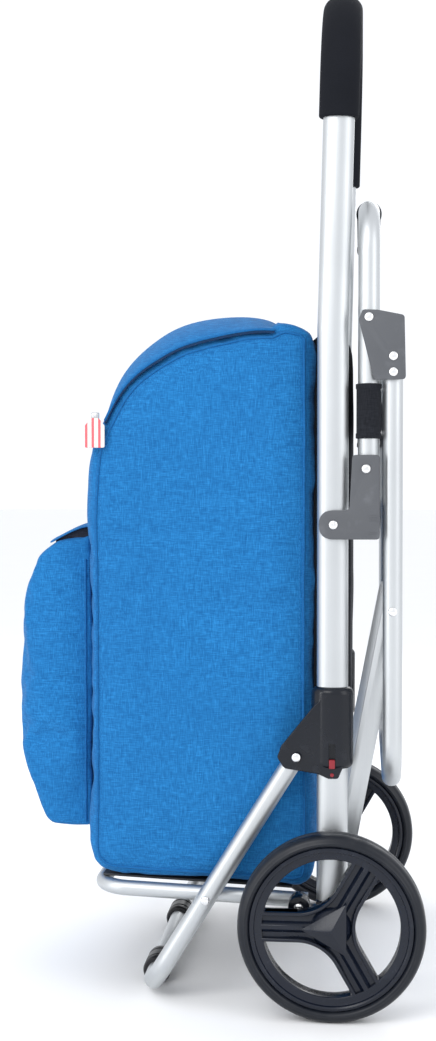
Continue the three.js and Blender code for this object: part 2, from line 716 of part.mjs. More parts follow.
// ---------------------------------------------------------------- bag
// Side view of the bag: back panel, then the seam that the lid closes on, then the front.
const seam = [
  [lid.hingeX, bag.top],
  [-82, bag.top],
  [-115, bag.top - 4],
  [-154, bag.top - 14],
  [-182, bag.top - 28],
  [-206, bag.top - 45],
  [-224, bag.top - 66],
  [-238, bag.top - 92],
];
const bagBottom = (x) => baseZ(x) + boardLift + board.thick + clearance * 2;

// The bag's outline, moved in by a wall; the seam moves up instead where the mouth stays open.
function bagOutline(inset, mouth) {
  const rear = bag.back - inset;
  const fore = bag.front + inset;
  const shoulder = [bag.front + 4 + inset, bag.top - bag.shoulder];
  return outline([
    [rear, bagBottom(rear) + inset, 12],
    [rear, bag.top + 6 - inset, 10],
    [lid.hingeX + 2, bag.top + 12 + mouth - inset * (mouth ? 0 : 1)],
    ...seam.slice(1).map(([x, z]) => [x, z + mouth]),
    shoulder,
    [fore, bag.top - bag.shoulder - 55],
    [fore, bagBottom(fore) + inset, bag.corner],
  ]);
}

const bagSolid = plate(bagOutline(0, 0), -bag.half, bag.half);
const cavity = plate(bagOutline(bag.wall, 60), -(bag.half - bag.wall), bag.half - bag.wall);
// The back strip above the panel stays, and two webbing loops on it hang the bag from the crossbar.
const mouthBack = block(lid.hingeX, bag.back + 1, -bag.half, bag.half, bag.top + 6 - bag.wall, bag.top + 200);
let bagBody = bagSolid.subtract(cavity.subtract(mouthBack));
for (const [, side] of sides) {
  const y0 = side * loop.from;
  const y1 = side * loop.to;
  const webbing = plate(
    outline([
      [bag.back - loop.root, bag.top + 2],
      [bag.back, bag.top + 2],
      [crossbarX + crossbar.radius + loop.wall, crossbar.z - 8, 3],
      [crossbarX + crossbar.radius + loop.wall, crossbar.z + crossbar.radius + loop.wall, 6],
      [crossbarX - crossbar.radius - loop.wall, crossbar.z + crossbar.radius + loop.wall, 6],
      [bag.back - loop.root, bag.top + 5],
    ]),
    y0,
    y1,
  ).subtract(pin(crossbarX, crossbar.z, y0 - side, y1 + side, crossbar.radius + running, 16));
  bagBody = bagBody.add(webbing);
}
piece("bag_shell", bagBody, blueFabric);

// The lid is the arched top panel, zipped along both side seams and hinged on the back strip.
const lidUnder = seam.map(([x, z]) => [x, z + 1]);
lidUnder[0] = [lid.hingeX - 1, bag.top + 14];
const lidTop = seam.map(([x, z], k) => {
  const share = k / (seam.length - 1);
  const lift = lid.edge + (lid.thick - lid.edge) * Math.sin(Math.PI * Math.min(share + 0.12, 1));
  return [x - 14 * share * share, z + lift + 8 * (1 - share) ** 2];
});
lidTop[0] = [lid.hingeX - 1, bag.top + 27];
const lidShape = outline([...lidTop, ...lidUnder.reverse()].map(([x, z]) => [x, z]));
piece("bag_lid", plate(lidShape, -bag.half, bag.half), blueFabric);

// ---------------------------------------------------------------- pockets
// The front pocket stands on the bag's front and opens at its sloping top.
const pocketRear = bag.front - clearance * 2;
const pocketFront = bag.front - frontPocket.depth;
const pocketHalf = bag.half - frontPocket.inset;
const pocketShape = outline([
  [pocketRear, frontPocket.bottom, 3],
  [pocketRear, frontPocket.top + 10],
  [pocketFront + 26, frontPocket.top - 18, 16],
  [pocketFront + 6, frontPocket.top - 62, 20],
  [pocketFront, frontPocket.top - 126, 40],
  [pocketFront + 5, frontPocket.bottom + 49, 20],
  [pocketFront + 20, frontPocket.bottom, 13],
]);
const pocketBody = plate(pocketShape, -pocketHalf, pocketHalf);
const pocketRoom = block(
  pocketFront + frontPocket.wall + 10,
  pocketRear - frontPocket.wall,
  -(pocketHalf - frontPocket.wall),
  pocketHalf - frontPocket.wall,
  frontPocket.bottom + frontPocket.wall + 12,
  frontPocket.top + 60,
);
piece("front_pocket", pocketBody.subtract(pocketRoom), blueFabric);

// The rear pocket is a flat black case between the uprights, open at its top.
const rearX0 = bag.back + clearance * 2;
const rearX1 = bag.back + rearPocket.reach;
const rearTop = bag.top - clearance;
const rearHalf = bag.half - rearPocket.inset;
const rearBox = plate(
  outline([
    [rearX0, rearPocket.bottom, 2],
    [rearX1, rearPocket.bottom + 6, 14],
    [rearX1, rearTop - 8, 10],
    [rearX0, rearTop, 2],
  ]),
  -rearHalf,
  rearHalf,
);
const rearRoom = block(
  rearX0 + rearPocket.wall,
  rearX1 - rearPocket.wall,
  -(rearHalf - rearPocket.wall),
  rearHalf - rearPocket.wall,
  rearPocket.bottom + 14,
  rearTop + 10,
);
piece("rear_pocket", rearBox.subtract(rearRoom), blackFabric);

// ---------------------------------------------------------------- zip slider and its tab
const sliderOuter = bag.half + clearance + 4;
const zipZ = bag.top - zipTab.drop;
const slider = block(zipTab.x - 4, zipTab.x + 4, -sliderOuter, -(bag.half + clearance), zipZ - 4, zipZ + 10);
piece("zip_slider", slider, steel);
const tabFace = outline([
  [zipTab.x - zipTab.width / 2, zipZ + 2 - zipTab.height, 2],
  [zipTab.x + zipTab.width / 2, zipZ + 2 - zipTab.height, 2],
  [zipTab.x + zipTab.width / 2, zipZ - 4, 2],
  [zipTab.x + 4, zipZ + 4, 2],
  [zipTab.x - 4, zipZ + 4, 2],
  [zipTab.x - zipTab.width / 2, zipZ - 4, 2],
]);
piece("zip_pull_tab", plate(tabFace, -(sliderOuter + clearance + zipTab.thick), -(sliderOuter + clearance)), tabFabric);

// ---------------------------------------------------------------- origin
// The box runs from the front pocket to the back of the wheels.
trolley.position.x = -(pocketFront + wheel.radius) / 2;

export default trolley;
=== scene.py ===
import json
import math

import bpy
from mathutils import Matrix, Vector, noise

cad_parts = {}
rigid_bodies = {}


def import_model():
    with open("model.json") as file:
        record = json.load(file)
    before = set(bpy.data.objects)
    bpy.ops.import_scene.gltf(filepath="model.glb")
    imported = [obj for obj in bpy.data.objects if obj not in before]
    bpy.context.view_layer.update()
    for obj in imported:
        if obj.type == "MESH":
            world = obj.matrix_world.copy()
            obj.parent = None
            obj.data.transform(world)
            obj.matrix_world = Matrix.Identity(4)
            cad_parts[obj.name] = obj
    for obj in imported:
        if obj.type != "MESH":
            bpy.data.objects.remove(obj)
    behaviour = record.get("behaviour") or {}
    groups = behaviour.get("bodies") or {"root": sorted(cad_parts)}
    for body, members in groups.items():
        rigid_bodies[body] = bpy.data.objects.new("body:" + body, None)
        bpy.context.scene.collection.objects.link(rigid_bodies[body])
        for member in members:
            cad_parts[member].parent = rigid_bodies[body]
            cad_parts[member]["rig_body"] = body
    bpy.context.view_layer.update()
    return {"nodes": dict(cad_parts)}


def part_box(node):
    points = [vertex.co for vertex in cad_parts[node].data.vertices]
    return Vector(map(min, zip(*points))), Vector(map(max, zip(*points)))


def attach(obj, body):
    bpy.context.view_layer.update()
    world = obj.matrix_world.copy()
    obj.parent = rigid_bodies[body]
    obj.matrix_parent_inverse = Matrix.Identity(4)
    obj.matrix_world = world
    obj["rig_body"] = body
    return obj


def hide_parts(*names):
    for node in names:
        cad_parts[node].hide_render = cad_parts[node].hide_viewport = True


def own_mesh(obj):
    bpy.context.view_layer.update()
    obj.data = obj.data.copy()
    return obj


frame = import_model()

mm = 0.001
over_middle = Vector((1, -1, 1))  # times a point gives its mirror image across the middle plane
nodes = frame["nodes"]


# ---------------------------------------------------------------- places taken from the frame
def middle(node):
    low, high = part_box(node)
    return (low + high) / 2


def low(node):
    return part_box(node)[0]


def high(node):
    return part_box(node)[1]


axle_x = middle("axle_rod").x
axle_z = middle("axle_rod").z
upright_y = -middle("seat_pivot_bracket_left").y - 12.9 * mm
upright_deep = 16 * mm
upright_wide = 11 * mm
seat_r = 11 * mm  # the seat's tube
foot_z = 14 * mm  # the front leg's lower bend


# ---------------------------------------------------------------- materials
class Wire:
    """An output of a node. Sums written on it become Math nodes."""

    def __init__(self, look, socket):
        self.look = look
        self.socket = socket

    def math(self, operation, first, second):
        return self.look.node("ShaderNodeMath", {"operation": operation}, {0: first, 1: second})

    def __add__(self, other):
        return self.math("ADD", self, other)

    def __mul__(self, other):
        return self.math("MULTIPLY", self, other)

    def __sub__(self, other):
        return self.math("SUBTRACT", self, other)

    def __rsub__(self, other):
        return self.math("SUBTRACT", other, self)

    def __gt__(self, other):
        return self.math("GREATER_THAN", self, other)

    __radd__ = __add__
    __rmul__ = __mul__


class Look:
    """A material built from nodes round one Principled shader."""

    def __init__(self, name, **constants):
        self.material = bpy.data.materials.new(name)
        self.material.use_nodes = True
        self.tree = self.material.node_tree
        self.shader = self.tree.nodes["Principled BSDF"]
        for socket, value in constants.items():
            self.shader.inputs[socket.replace("_", " ")].default_value = value
        self.place = self.node("ShaderNodeTexCoord", output="Object")

    def node(self, kind, settings=None, inputs=None, output=0):
        made = self.tree.nodes.new(kind)
        for name, value in (settings or {}).items():
            if name == "stops":
                self.set_stops(made.color_ramp, value)
            else:
                setattr(made, name, value)
        for name, value in (inputs or {}).items():
            if isinstance(value, Wire):
                self.tree.links.new(value.socket, made.inputs[name])
            else:
                made.inputs[name].default_value = value
        return Wire(self, made.outputs[output])

    def set_stops(self, ramp, stops):
        while len(ramp.elements) < len(stops):
            ramp.elements.new(0.5)
        for element, (position, value) in zip(ramp.elements, stops):
            element.position = position
            element.color = (value, value, value, 1)

    def feed(self, socket, wire):
        self.tree.links.new(wire.socket, self.shader.inputs[socket])

    def stretched(self, scale):
        return self.node("ShaderNodeMapping", inputs={"Vector": self.place, "Scale": scale})

    def noise(self, scale, detail=3, vector=None):
        sockets = {"Vector": vector or self.place, "Scale": scale, "Detail": detail}
        return self.node("ShaderNodeTexNoise", inputs=sockets)

    def ramp(self, wire, *stops):
        return self.node("ShaderNodeValToRGB", {"stops": stops}, {"Fac": wire})

    def mix(self, factor, first, second):
        sockets = {0: factor, 6: (*first, 1) if isinstance(first, tuple) else first}
        sockets[7] = (*second, 1) if isinstance(second, tuple) else second
        return self.node("ShaderNodeMix", {"data_type": "RGBA"}, sockets, output=2)

    def bump(self, height, strength, distance):
        sockets = {"Height": height, "Strength": strength, "Distance": distance}
        self.feed("Normal", self.node("ShaderNodeBump", inputs=sockets))


def aluminium(name, bright, rough, grain):
    """Satin metal: fine drawn lines along the tube, and faint handling marks."""
    look = Look(name, Metallic=1.0)
    drawn = look.noise(1, 4, look.stretched(grain))
    smudge = look.noise(14, 4)
    tone = look.mix(look.ramp(smudge, (0.35, 0), (0.7, 1)), bright, tuple(0.93 * c for c in bright))
    look.feed("Base Color", look.mix(drawn * 0.35, tone, tuple(0.8 * c for c in bright)))
    look.feed("Roughness", drawn * 0.10 + smudge * 0.10 + (rough - 0.08))
    look.bump(drawn, 0.12, 0.0004)
    return look.material


def moulded(name, colour, rough, coat=0.0, grain=1400, depth=0.12, shine=0.5):
    """Moulded plastic: fine spark grain, soft cloudiness, and rubbed, paler patches."""
    look = Look(name, Coat_Weight=coat, Coat_Roughness=0.15, Specular_IOR_Level=shine)
    cloud = look.noise(26, 4)
    speck = look.noise(grain, 2)
    rubbed = look.ramp(look.noise(70, 6), (0.56, 0), (0.78, 1))
    pale = tuple(min(1, 1.7 * c + 0.012) for c in colour)
    dark = tuple(0.8 * c for c in colour)
    look.feed("Base Color", look.mix(rubbed * 0.4, look.mix(cloud, dark, colour), pale))
    look.feed("Roughness", cloud * 0.10 + rubbed * 0.12 + (rough - 0.05))
    look.bump(speck, depth, 0.0003)
    return look.material


def cloth(name, dark, bright, pitch=1.0, streak=0.55, sheen=0.05):
    """Woven cloth: over-and-under threads, and slubs of a paler yarn along warp and weft."""
    look = Look(name, Sheen_Weight=sheen, Sheen_Roughness=0.5, Specular_IOR_Level=0.12)
    thread = 1300 / pitch
    slack = 110 / pitch
    weft = look.noise(1, 3, look.stretched((slack, slack, thread)))
    warp = look.noise(1, 3, look.stretched((thread, thread, slack)))
    patch = look.noise(9, 5)
    slub = look.ramp(weft * 0.5 + warp * 0.5, (0.38, 0), (0.64, 1))
    streaks = look.ramp(look.node("ShaderNodeMath", {"operation": "MAXIMUM"}, {0: weft, 1: warp}),
                        (0.60, 0), (0.85, 1))
    base = look.mix(slub, dark, bright)
    pale = tuple(min(1, 1.25 * c + 0.015) for c in bright)
    base = look.mix(streaks * streak, base, pale)
    look.feed("Base Color", look.mix(look.ramp(patch, (0.35, 0.22), (0.65, 0)), base, dark))
    look.feed("Roughness", patch * 0.12 + 0.8)
    across = look.node("ShaderNodeTexWave", {"bands_direction": "Z"},
                       {"Vector": look.place, "Scale": 330 / pitch, "Distortion": 1.2})
    along = look.node("ShaderNodeTexWave", {"bands_direction": "DIAGONAL"},
                      {"Vector": look.stretched((1, 1, 0)), "Scale": 300 / pitch, "Distortion": 1.2})
    look.bump(across * 0.4 + along * 0.4 + slub * 0.6, 0.5, 0.0004)
    return look.material


def foam_look():
    """Closed-cell foam: dull, with small pits and a slightly polished skin."""
    look = Look("handle_foam", Specular_IOR_Level=0.12)
    cells = look.node("ShaderNodeTexVoronoi", inputs={"Vector": look.place, "Scale": 900})
    worn = look.noise(40, 4)
    look.feed("Base Color", look.mix(worn, (0.005, 0.006, 0.009), (0.011, 0.012, 0.016)))
    look.feed("Roughness", worn * 0.2 + 0.72)
    look.bump(cells, 0.35, 0.0004)
    return look.material


def rubber_look(name, colour):
    """Solid rubber: dull skin with fine turning lines and dust in the grain."""
    look = Look(name, Specular_IOR_Level=0.3)
    dust = look.ramp(look.noise(55, 6), (0.5, 0), (0.75, 1))
    grain = look.noise(700, 3)
    pale = tuple(c + 0.012 for c in colour)
    look.feed("Base Color", look.mix(dust * 0.5, colour, pale))
    look.feed("Roughness", dust * 0.16 + 0.33)
    look.bump(grain, 0.15, 0.0003)
    return look.material


def tab_look():
    """Woven tab: off-white tape with coral stripes down its length."""
    look = Look("tab_tape", Sheen_Weight=0.2, Specular_IOR_Level=0.25)
    x = look.node("ShaderNodeSeparateXYZ", inputs={"Vector": look.place})
    stripe = look.node("ShaderNodeMath", {"operation": "SINE"}, {0: (x - low("zip_pull_tab").x) * 900})
    threads = look.noise(1, 2, look.stretched((1500, 1500, 500)))
    cream = look.mix(threads, (0.62, 0.56, 0.52), (0.85, 0.80, 0.76))
    look.feed("Base Color", look.mix(stripe > 0.35, cream, (0.72, 0.14, 0.16)))
    look.feed("Roughness", threads * 0.2 + 0.7)
    look.bump(threads, 0.5, 0.0004)
    return look.material


def floor_look():
    look = Look("studio_floor", Specular_IOR_Level=0.1)
    shade = look.noise(3, 2)
    look.feed("Base Color", look.mix(shade, (0.93, 0.93, 0.93), (0.95, 0.95, 0.95)))
    look.feed("Roughness", shade * 0.1 + 0.85)
    return look.material


satin = aluminium("satin_aluminium", (0.61, 0.63, 0.64), 0.44, (900, 900, 12))
satin_level = aluminium("satin_aluminium_level", (0.61, 0.63, 0.64), 0.44, (12, 900, 900))
rivet_metal = aluminium("rivet_aluminium", (0.88, 0.88, 0.88), 0.24, (300, 300, 300))
axle_steel = aluminium("axle_steel", (0.56, 0.57, 0.58), 0.3, (900, 40, 900))
collar_plastic = moulded("collar_plastic", (0.006, 0.008, 0.013), 0.24, coat=0.05, shine=0.28)
bracket_plastic = moulded("bracket_plastic", (0.090, 0.095, 0.105), 0.46, grain=1000, depth=0.25)
wheel_plastic = moulded("wheel_plastic", (0.006, 0.009, 0.018), 0.20, coat=0.12, shine=0.3)
latch_plastic = moulded("latch_plastic", (0.26, 0.010, 0.020), 0.35)
board_plastic = moulded("board_plastic", (0.025, 0.026, 0.030), 0.55, grain=600, depth=0.4)
tyre_rubber = rubber_look("tyre_rubber", (0.007, 0.009, 0.014))
foot_rubber = rubber_look("foot_rubber", (0.010, 0.010, 0.012))
blue_cloth = cloth("blue_cloth", (0.007, 0.100, 0.290), (0.021, 0.212, 0.520), streak=0.5)
blue_binding = cloth("blue_binding", (0.006, 0.090, 0.270), (0.015, 0.160, 0.420), pitch=0.7, streak=0.2)
lining_cloth = cloth("lining_cloth", (0.012, 0.014, 0.022), (0.030, 0.034, 0.048), streak=0.1)
black_cloth = cloth("black_cloth", (0.008, 0.009, 0.012), (0.020, 0.022, 0.028), streak=0.1)
zip_tape = cloth("zip_tape", (0.008, 0.030, 0.085), (0.014, 0.050, 0.130), pitch=0.6, streak=0.1)
thread_blue = cloth("thread_blue", (0.016, 0.160, 0.420), (0.030, 0.230, 0.540), pitch=0.4)
zip_teeth_nylon = moulded("zip_nylon", (0.010, 0.035, 0.100), 0.35)
handle_foam = foam_look()
tab_tape = tab_look()


# ---------------------------------------------------------------- modelling helpers
def fresh():
    """Back in object mode with nothing selected."""
    if bpy.context.object and bpy.context.object.mode != "OBJECT":
        bpy.ops.object.mode_set(mode="OBJECT")
    bpy.ops.object.select_all(action="DESELECT")


def picked(piece):
    """The piece alone selected and active."""
    fresh()
    bpy.context.view_layer.objects.active = piece
    piece.select_set(True)


def edited(piece):
    """The piece in edit mode, with all of it selected."""
    picked(piece)
    bpy.ops.object.mode_set(mode="EDIT")
    bpy.ops.mesh.select_all(action="SELECT")


def added(name, data):
    """A new object in the scene."""
    piece = bpy.data.objects.new(name, data)
    bpy.context.scene.collection.objects.link(piece)
    return piece


def chain(points):
    """A new object in edit mode: a chain of edges through the points, all selected."""
    fresh()
    bpy.ops.mesh.primitive_plane_add(size=mm)
    bpy.ops.object.mode_set(mode="EDIT")
    bpy.ops.mesh.merge(type="CENTER")
    bpy.ops.transform.translate(value=points[0])
    for here, there in zip(points, points[1:]):
        bpy.ops.mesh.extrude_vertices_move(TRANSFORM_OT_translate={"value": there - here})
    bpy.ops.mesh.select_all(action="SELECT")


def done(name, smooth=35):
    """Leaves edit mode and gives the finished piece its name, its place and its shading."""
    bpy.ops.mesh.select_all(action="SELECT")
    bpy.ops.mesh.remove_doubles(threshold=0.01 * mm)
    bpy.ops.mesh.normals_make_consistent(inside=False)
    bpy.ops.object.mode_set(mode="OBJECT")
    piece = bpy.context.object
    bpy.ops.object.transform_apply(location=True, rotation=True, scale=True)
    bpy.ops.object.shade_smooth_by_angle(angle=math.radians(smooth))
    piece.name = name
    return piece


def modify(piece, kind, **settings):
    """One modifier, set and applied."""
    picked(piece)
    made = piece.modifiers.new(kind.lower(), kind)
    for name, value in settings.items():
        setattr(made, name, value)
    bpy.ops.object.modifier_apply(modifier=made.name)
    return piece


def shade(piece, angle):
    """Smooth shading, with edges left sharp beyond an angle in degrees."""
    picked(piece)
    bpy.ops.object.shade_smooth_by_angle(angle=math.radians(angle))
    return piece


def soften(piece, width, segments=3, angle=30):
    """Rounded edges."""
    modify(piece, "BEVEL", width=width, segments=segments, limit_method="ANGLE",
           angle_limit=math.radians(angle))
    return shade(piece, 40)


def cut(piece, place, normal):
    """Takes away the side of a plane that its normal points to, and closes the cut."""
    edited(piece)
    bpy.ops.mesh.bisect(plane_co=place, plane_no=normal, use_fill=True, clear_outer=True)
    return done(piece.name)


def in_mm(*pairs):
    return [(a * mm, b * mm) for a, b in pairs]


def turned(name, profile, x, y, z, steps=48):
    """A shape turned about an axis along Y: the profile is (radius, place along Y) pairs."""
    centre = Vector((x, y, z))
    chain([centre + Vector((radius, along, 0)) for radius, along in profile])
    bpy.ops.mesh.spin(steps=steps, angle=2 * math.pi, center=centre, axis=(0, 1, 0))
    return done(name)


def slab(name, outline, y0, y1, width=0.0, segments=3):
    """A side-view outline of (x, z) pairs, given thickness along Y and rounded edges."""
    chain([Vector((x, y0, z)) for x, z in outline])
    bpy.ops.mesh.edge_face_add()
    bpy.ops.mesh.extrude_region_move(TRANSFORM_OT_translate={"value": (0, y1 - y0, 0)})
    piece = done(name)
    return soften(piece, width, segments) if width else piece


def arc(centre, radius, start, end, steps):
    """Points on a circle in the side view, angles in degrees from +X towards +Z."""
    turns = [math.radians(start + (end - start) * k / steps) for k in range(steps + 1)]
    return [(centre[0] + radius * math.cos(t), centre[1] + radius * math.sin(t)) for t in turns]


def rounded(corners, steps=6):
    """A closed outline of (x, z, radius) corners, each turned into an arc."""
    outline = []
    for k, (x, z, radius) in enumerate(corners):
        at = Vector((x, z))
        if radius == 0:
            outline.append((x, z))
            continue
        back = (Vector(corners[k - 1][:2]) - at).normalized()
        on = (Vector(corners[(k + 1) % len(corners)][:2]) - at).normalized()
        half = back.angle(on) / 2
        centre = at + (back + on).normalized() * radius / math.sin(half)
        start = at + back * radius / math.tan(half) - centre
        end = at + on * radius / math.tan(half) - centre
        for j in range(steps + 1):
            spot = start.slerp(end, j / steps)
            outline.append(tuple(centre + spot.normalized() * radius))
    return outline


def bent_tube(name, corners, across, deep, sides=40, steps=14):
    """A tube through (point, bend radius) corners; its section is an ellipse, wide along Y."""
    spin_way = -1  # an operator's spin runs the other way round its axis than a hand would
    fresh()
    end = corners[0][0]
    heading = (corners[1][0] - end).normalized()
    bpy.ops.mesh.primitive_circle_add(vertices=sides, radius=1, fill_type="NGON")
    tilt = Vector((0, 0, 1)).rotation_difference(heading).to_matrix().to_4x4()
    section = Matrix.Diagonal((deep, across, 1, 1))
    bpy.context.object.data.transform(Matrix.Translation(end) @ tilt @ section)
    bpy.ops.object.mode_set(mode="EDIT")
    bpy.ops.mesh.select_all(action="SELECT")
    for k in range(1, len(corners)):
        corner, radius = corners[k]
        if radius == 0:
            bpy.ops.mesh.extrude_region_move(TRANSFORM_OT_translate={"value": corner - end})
            end = corner
            continue
        back = (end - corner).normalized()
        on = (corners[k + 1][0] - corner).normalized()
        half = back.angle(on) / 2
        start = corner + back * radius / math.tan(half)
        centre = corner + (back + on).normalized() * radius / math.sin(half)
        bpy.ops.mesh.extrude_region_move(TRANSFORM_OT_translate={"value": start - end})
        axis = (-back).cross(on).normalized()
        bpy.ops.mesh.spin(steps=steps, angle=spin_way * (math.pi - 2 * half), center=centre,
                          axis=axis)
        end = corner + on * radius / math.tan(half)
    return done(name)


def wound(points, radius, name, closed=False, sides=3):
    """A thin round cord of cloth along the points."""
    curve = bpy.data.curves.new(name, "CURVE")
    curve.dimensions = "3D"
    curve.bevel_depth = radius
    curve.bevel_resolution = sides
    curve.use_fill_caps = not closed
    line = curve.splines.new("POLY")
    line.points.add(len(points) - 1)
    line.use_cyclic_u = closed
    for spot, point in zip(line.points, points):
        spot.co = (*point, 1)
    picked(added(name, curve))
    bpy.ops.object.convert(target="MESH")
    return shade(bpy.context.object, 60)


def refined(node, name, width=0.0, segments=2):
    """A copy of a part's mesh with its faces joined up and its edges rounded."""
    piece = added(name, nodes[node].data.copy())
    edited(piece)
    bpy.ops.mesh.remove_doubles(threshold=0.01 * mm)
    bpy.ops.mesh.dissolve_limited(angle_limit=math.radians(1))
    bpy.ops.object.mode_set(mode="OBJECT")
    if width:
        soften(piece, width, segments)
    return shade(piece, 35)


def joined(name, *pieces):
    """Several finished pieces as one."""
    fresh()
    for piece in pieces:
        piece.select_set(True)
    bpy.context.view_layer.objects.active = pieces[0]
    bpy.ops.object.join()
    bpy.context.object.name = name
    return bpy.context.object


def mirrored(piece, name):
    """The same piece on the other side of the middle plane."""
    other = added(name, piece.data.copy())
    other.data.transform(Matrix.Scale(-1, 4, (0, 1, 0)))
    other.data.flip_normals()
    return other


def painted(piece, look):
    piece.data.materials.clear()
    piece.data.materials.append(look)
    return piece


def placed(piece, look, slot, body, *replaced):
    """Gives a piece its finish and its body, and hides the parts that it stands for."""
    painted(piece, look)
    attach(piece, body)
    if replaced:
        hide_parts(*replaced)
    return piece


def stands_for(piece, node, look, slot):
    return placed(piece, look, slot, nodes[node]["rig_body"], node)


def both_sides(piece, node, look, slot):
    """The left piece, and its mirror image on the right; node names end in _left and _right."""
    other = mirrored(piece, node + "_made_right")
    piece.name = node + "_made_left"
    stands_for(piece, node + "_left", look, slot)
    stands_for(other, node + "_right", look, slot)


# ---------------------------------------------------------------- camera, floor and light
def make_camera():
    tilt_down = 1.394
    swing_left = 5.5576
    camera = added("camera", bpy.data.cameras.new("camera"))
    camera.location = (0.1463, -1.6950, 0.5405)
    camera.rotation_euler = (math.radians(90 - tilt_down), 0, math.radians(swing_left))
    camera.data.sensor_fit = "VERTICAL"
    camera.data.sensor_height = 36
    camera.data.sensor_width = 36
    camera.data.lens = 51.2
    bpy.context.scene.camera = camera


def soft_light(name, place, aim, size, power):
    """A rectangular lamp that points from its place to its aim."""
    light = bpy.data.lights.new(name, "AREA")
    light.shape = "RECTANGLE"
    light.size, light.size_y = size
    light.energy = power
    lamp = added(name, light)
    lamp.location = place
    lamp.rotation_euler = (Vector(aim) - Vector(place)).to_track_quat("-Z", "Y").to_euler()


def make_studio():
    fresh()
    bpy.ops.mesh.primitive_grid_add(x_subdivisions=8, y_subdivisions=8, size=60)
    floor = bpy.context.object
    floor.name = "studio_floor"
    painted(floor, floor_look())
    world = bpy.data.worlds.new("studio_world")
    world.use_nodes = True
    sky = world.node_tree.nodes["Background"]
    sky.inputs["Color"].default_value = (0.94, 0.96, 1.0, 1)
    sky.inputs["Strength"].default_value = 1.09
    bpy.context.scene.world = world
    bpy.context.scene.view_settings.view_transform = "Standard"
    soft_light("key_light", (-0.9, -2.2, 2.2), (0, 0, 0.5), (1.4, 1.4), 26)
    soft_light("fill_light", (1.9, -1.3, 1.2), (0, 0, 0.5), (1.0, 1.8), 10)
    soft_light("strip_light", (-1.5, -1.3, 0.6), (0.05, -0.1, 0.4), (0.16, 1.8), 9)
    soft_light("back_light", (0.6, 2.2, 1.8), (0, 0, 0.5), (1.6, 1.2), 16)


make_camera()
make_studio()


# ---------------------------------------------------------------- tubes
def frame_route(start):
    """The main tube from a height on the left upright, over the bow and down again."""
    lean_from = 700 * mm
    lean = math.tan(math.radians(1.5))
    bow = 100 * mm
    top = high("main_frame_tube").z - upright_wide

    def on_upright(z, side):
        return Vector((axle_x + max(z - lean_from, 0) * lean, side * upright_y, z))

    heights = [start, lean_from] if start < lean_from else [start]
    rise = [(on_upright(z, -1), 0) for z in heights]
    fall = [(on_upright(z, 1), 0) for z in reversed(heights)]
    return rise + [(on_upright(top, -1), bow), (on_upright(top, 1), bow)] + fall


def hoop(node, name, end, corner, bend, radius, finish):
    """A round tube bent into a U across the middle plane, from its left end and left corner."""
    route = [(end, 0), (corner, bend), (corner * over_middle, bend), (end * over_middle, 0)]
    stands_for(bent_tube(name, route, radius, radius), node, finish, "anodised_tube")


def make_tubes():
    frame_tube = bent_tube("frame_tube_made", frame_route(low("main_frame_tube").z),
                           upright_wide, upright_deep, sides=48, steps=24)
    stands_for(frame_tube, "main_frame_tube", satin, "anodised_tube")

    foam_wall = 4.5 * mm
    foam = bent_tube("foam_grip_made", frame_route(low("handle_foam_grip").z),
                     upright_wide + foam_wall, upright_deep + foam_wall, sides=48, steps=24)
    soften(foam, 2.2 * mm, 3, 60)
    stands_for(foam, "handle_foam_grip", handle_foam, "black_foam")

    foot = low("seat_frame_tube")
    x = middle("seat_frame_tube").x
    top = high("seat_frame_tube").z - seat_r
    hoop("seat_frame_tube", "seat_tube_made", Vector((x, -upright_y, foot.z)),
         Vector((x, -upright_y, top)), 46 * mm, seat_r, satin)

    leg_r = 10 * mm
    x = middle("rear_leg_tube").x
    top = high("rear_leg_tube")
    foot = low("rear_leg_tube").z + leg_r
    hoop("rear_leg_tube", "rear_leg_made", Vector((x, leg_r - top.y, top.z)),
         Vector((x, leg_r - top.y, foot)), 46 * mm, leg_r, satin)

    y = leg_r - high("front_leg_tube").y
    foot = Vector((low("front_leg_tube").x + leg_r, y, foot_z))
    pivot = middle("collar_leg_rivet_left")
    pivot.y = y
    top = pivot + (pivot - foot).normalized() * 8 * mm
    hoop("front_leg_tube", "front_leg_made", top, foot, 40 * mm, leg_r, satin)

    rail_r = 8 * mm
    y = rail_r - high("base_frame_tube").y
    pivot = middle("base_pivot_pin_left")
    corner = Vector((low("base_frame_tube").x + rail_r, y, high("base_frame_tube").z - rail_r))
    slope = (corner.z - pivot.z) / (corner.x - pivot.x)
    rear_x = high("base_frame_tube").x
    rear_end = Vector((rear_x, y, pivot.z + slope * (rear_x - pivot.x)))
    hoop("base_frame_tube", "base_tube_made", rear_end, corner, 30 * mm, rail_r, satin_level)

    bar = middle("upper_crossbar")
    half = high("upper_crossbar").y
    bar_r = 6 * mm
    profile = [(0, -half), (bar_r, -half), (bar_r, half), (0, half)]
    crossbar = soften(turned("crossbar_made", profile, bar.x, 0, bar.z, 28), 0.5 * mm, 2, 60)
    stands_for(crossbar, "upper_crossbar", satin, "anodised_tube")

    both_sides(refined("strut_left", "strut", 1.4 * mm, 3), "strut", satin, "anodised_tube")
    axle = refined("axle_rod", "axle_made", 0.6 * mm)
    stands_for(axle, "axle_rod", axle_steel, "steel")


# ---------------------------------------------------------------- rivets, brackets and collars
def dome(radius, height, shank):
    """Half profile of a domed rivet head, from its pole to the shank."""
    steps = 5
    curve = [(radius * math.sin(a), height * (1 - math.cos(a)))
             for a in (math.pi / 2 * k / steps for k in range(steps + 1))]
    return curve + [(shank, height)]


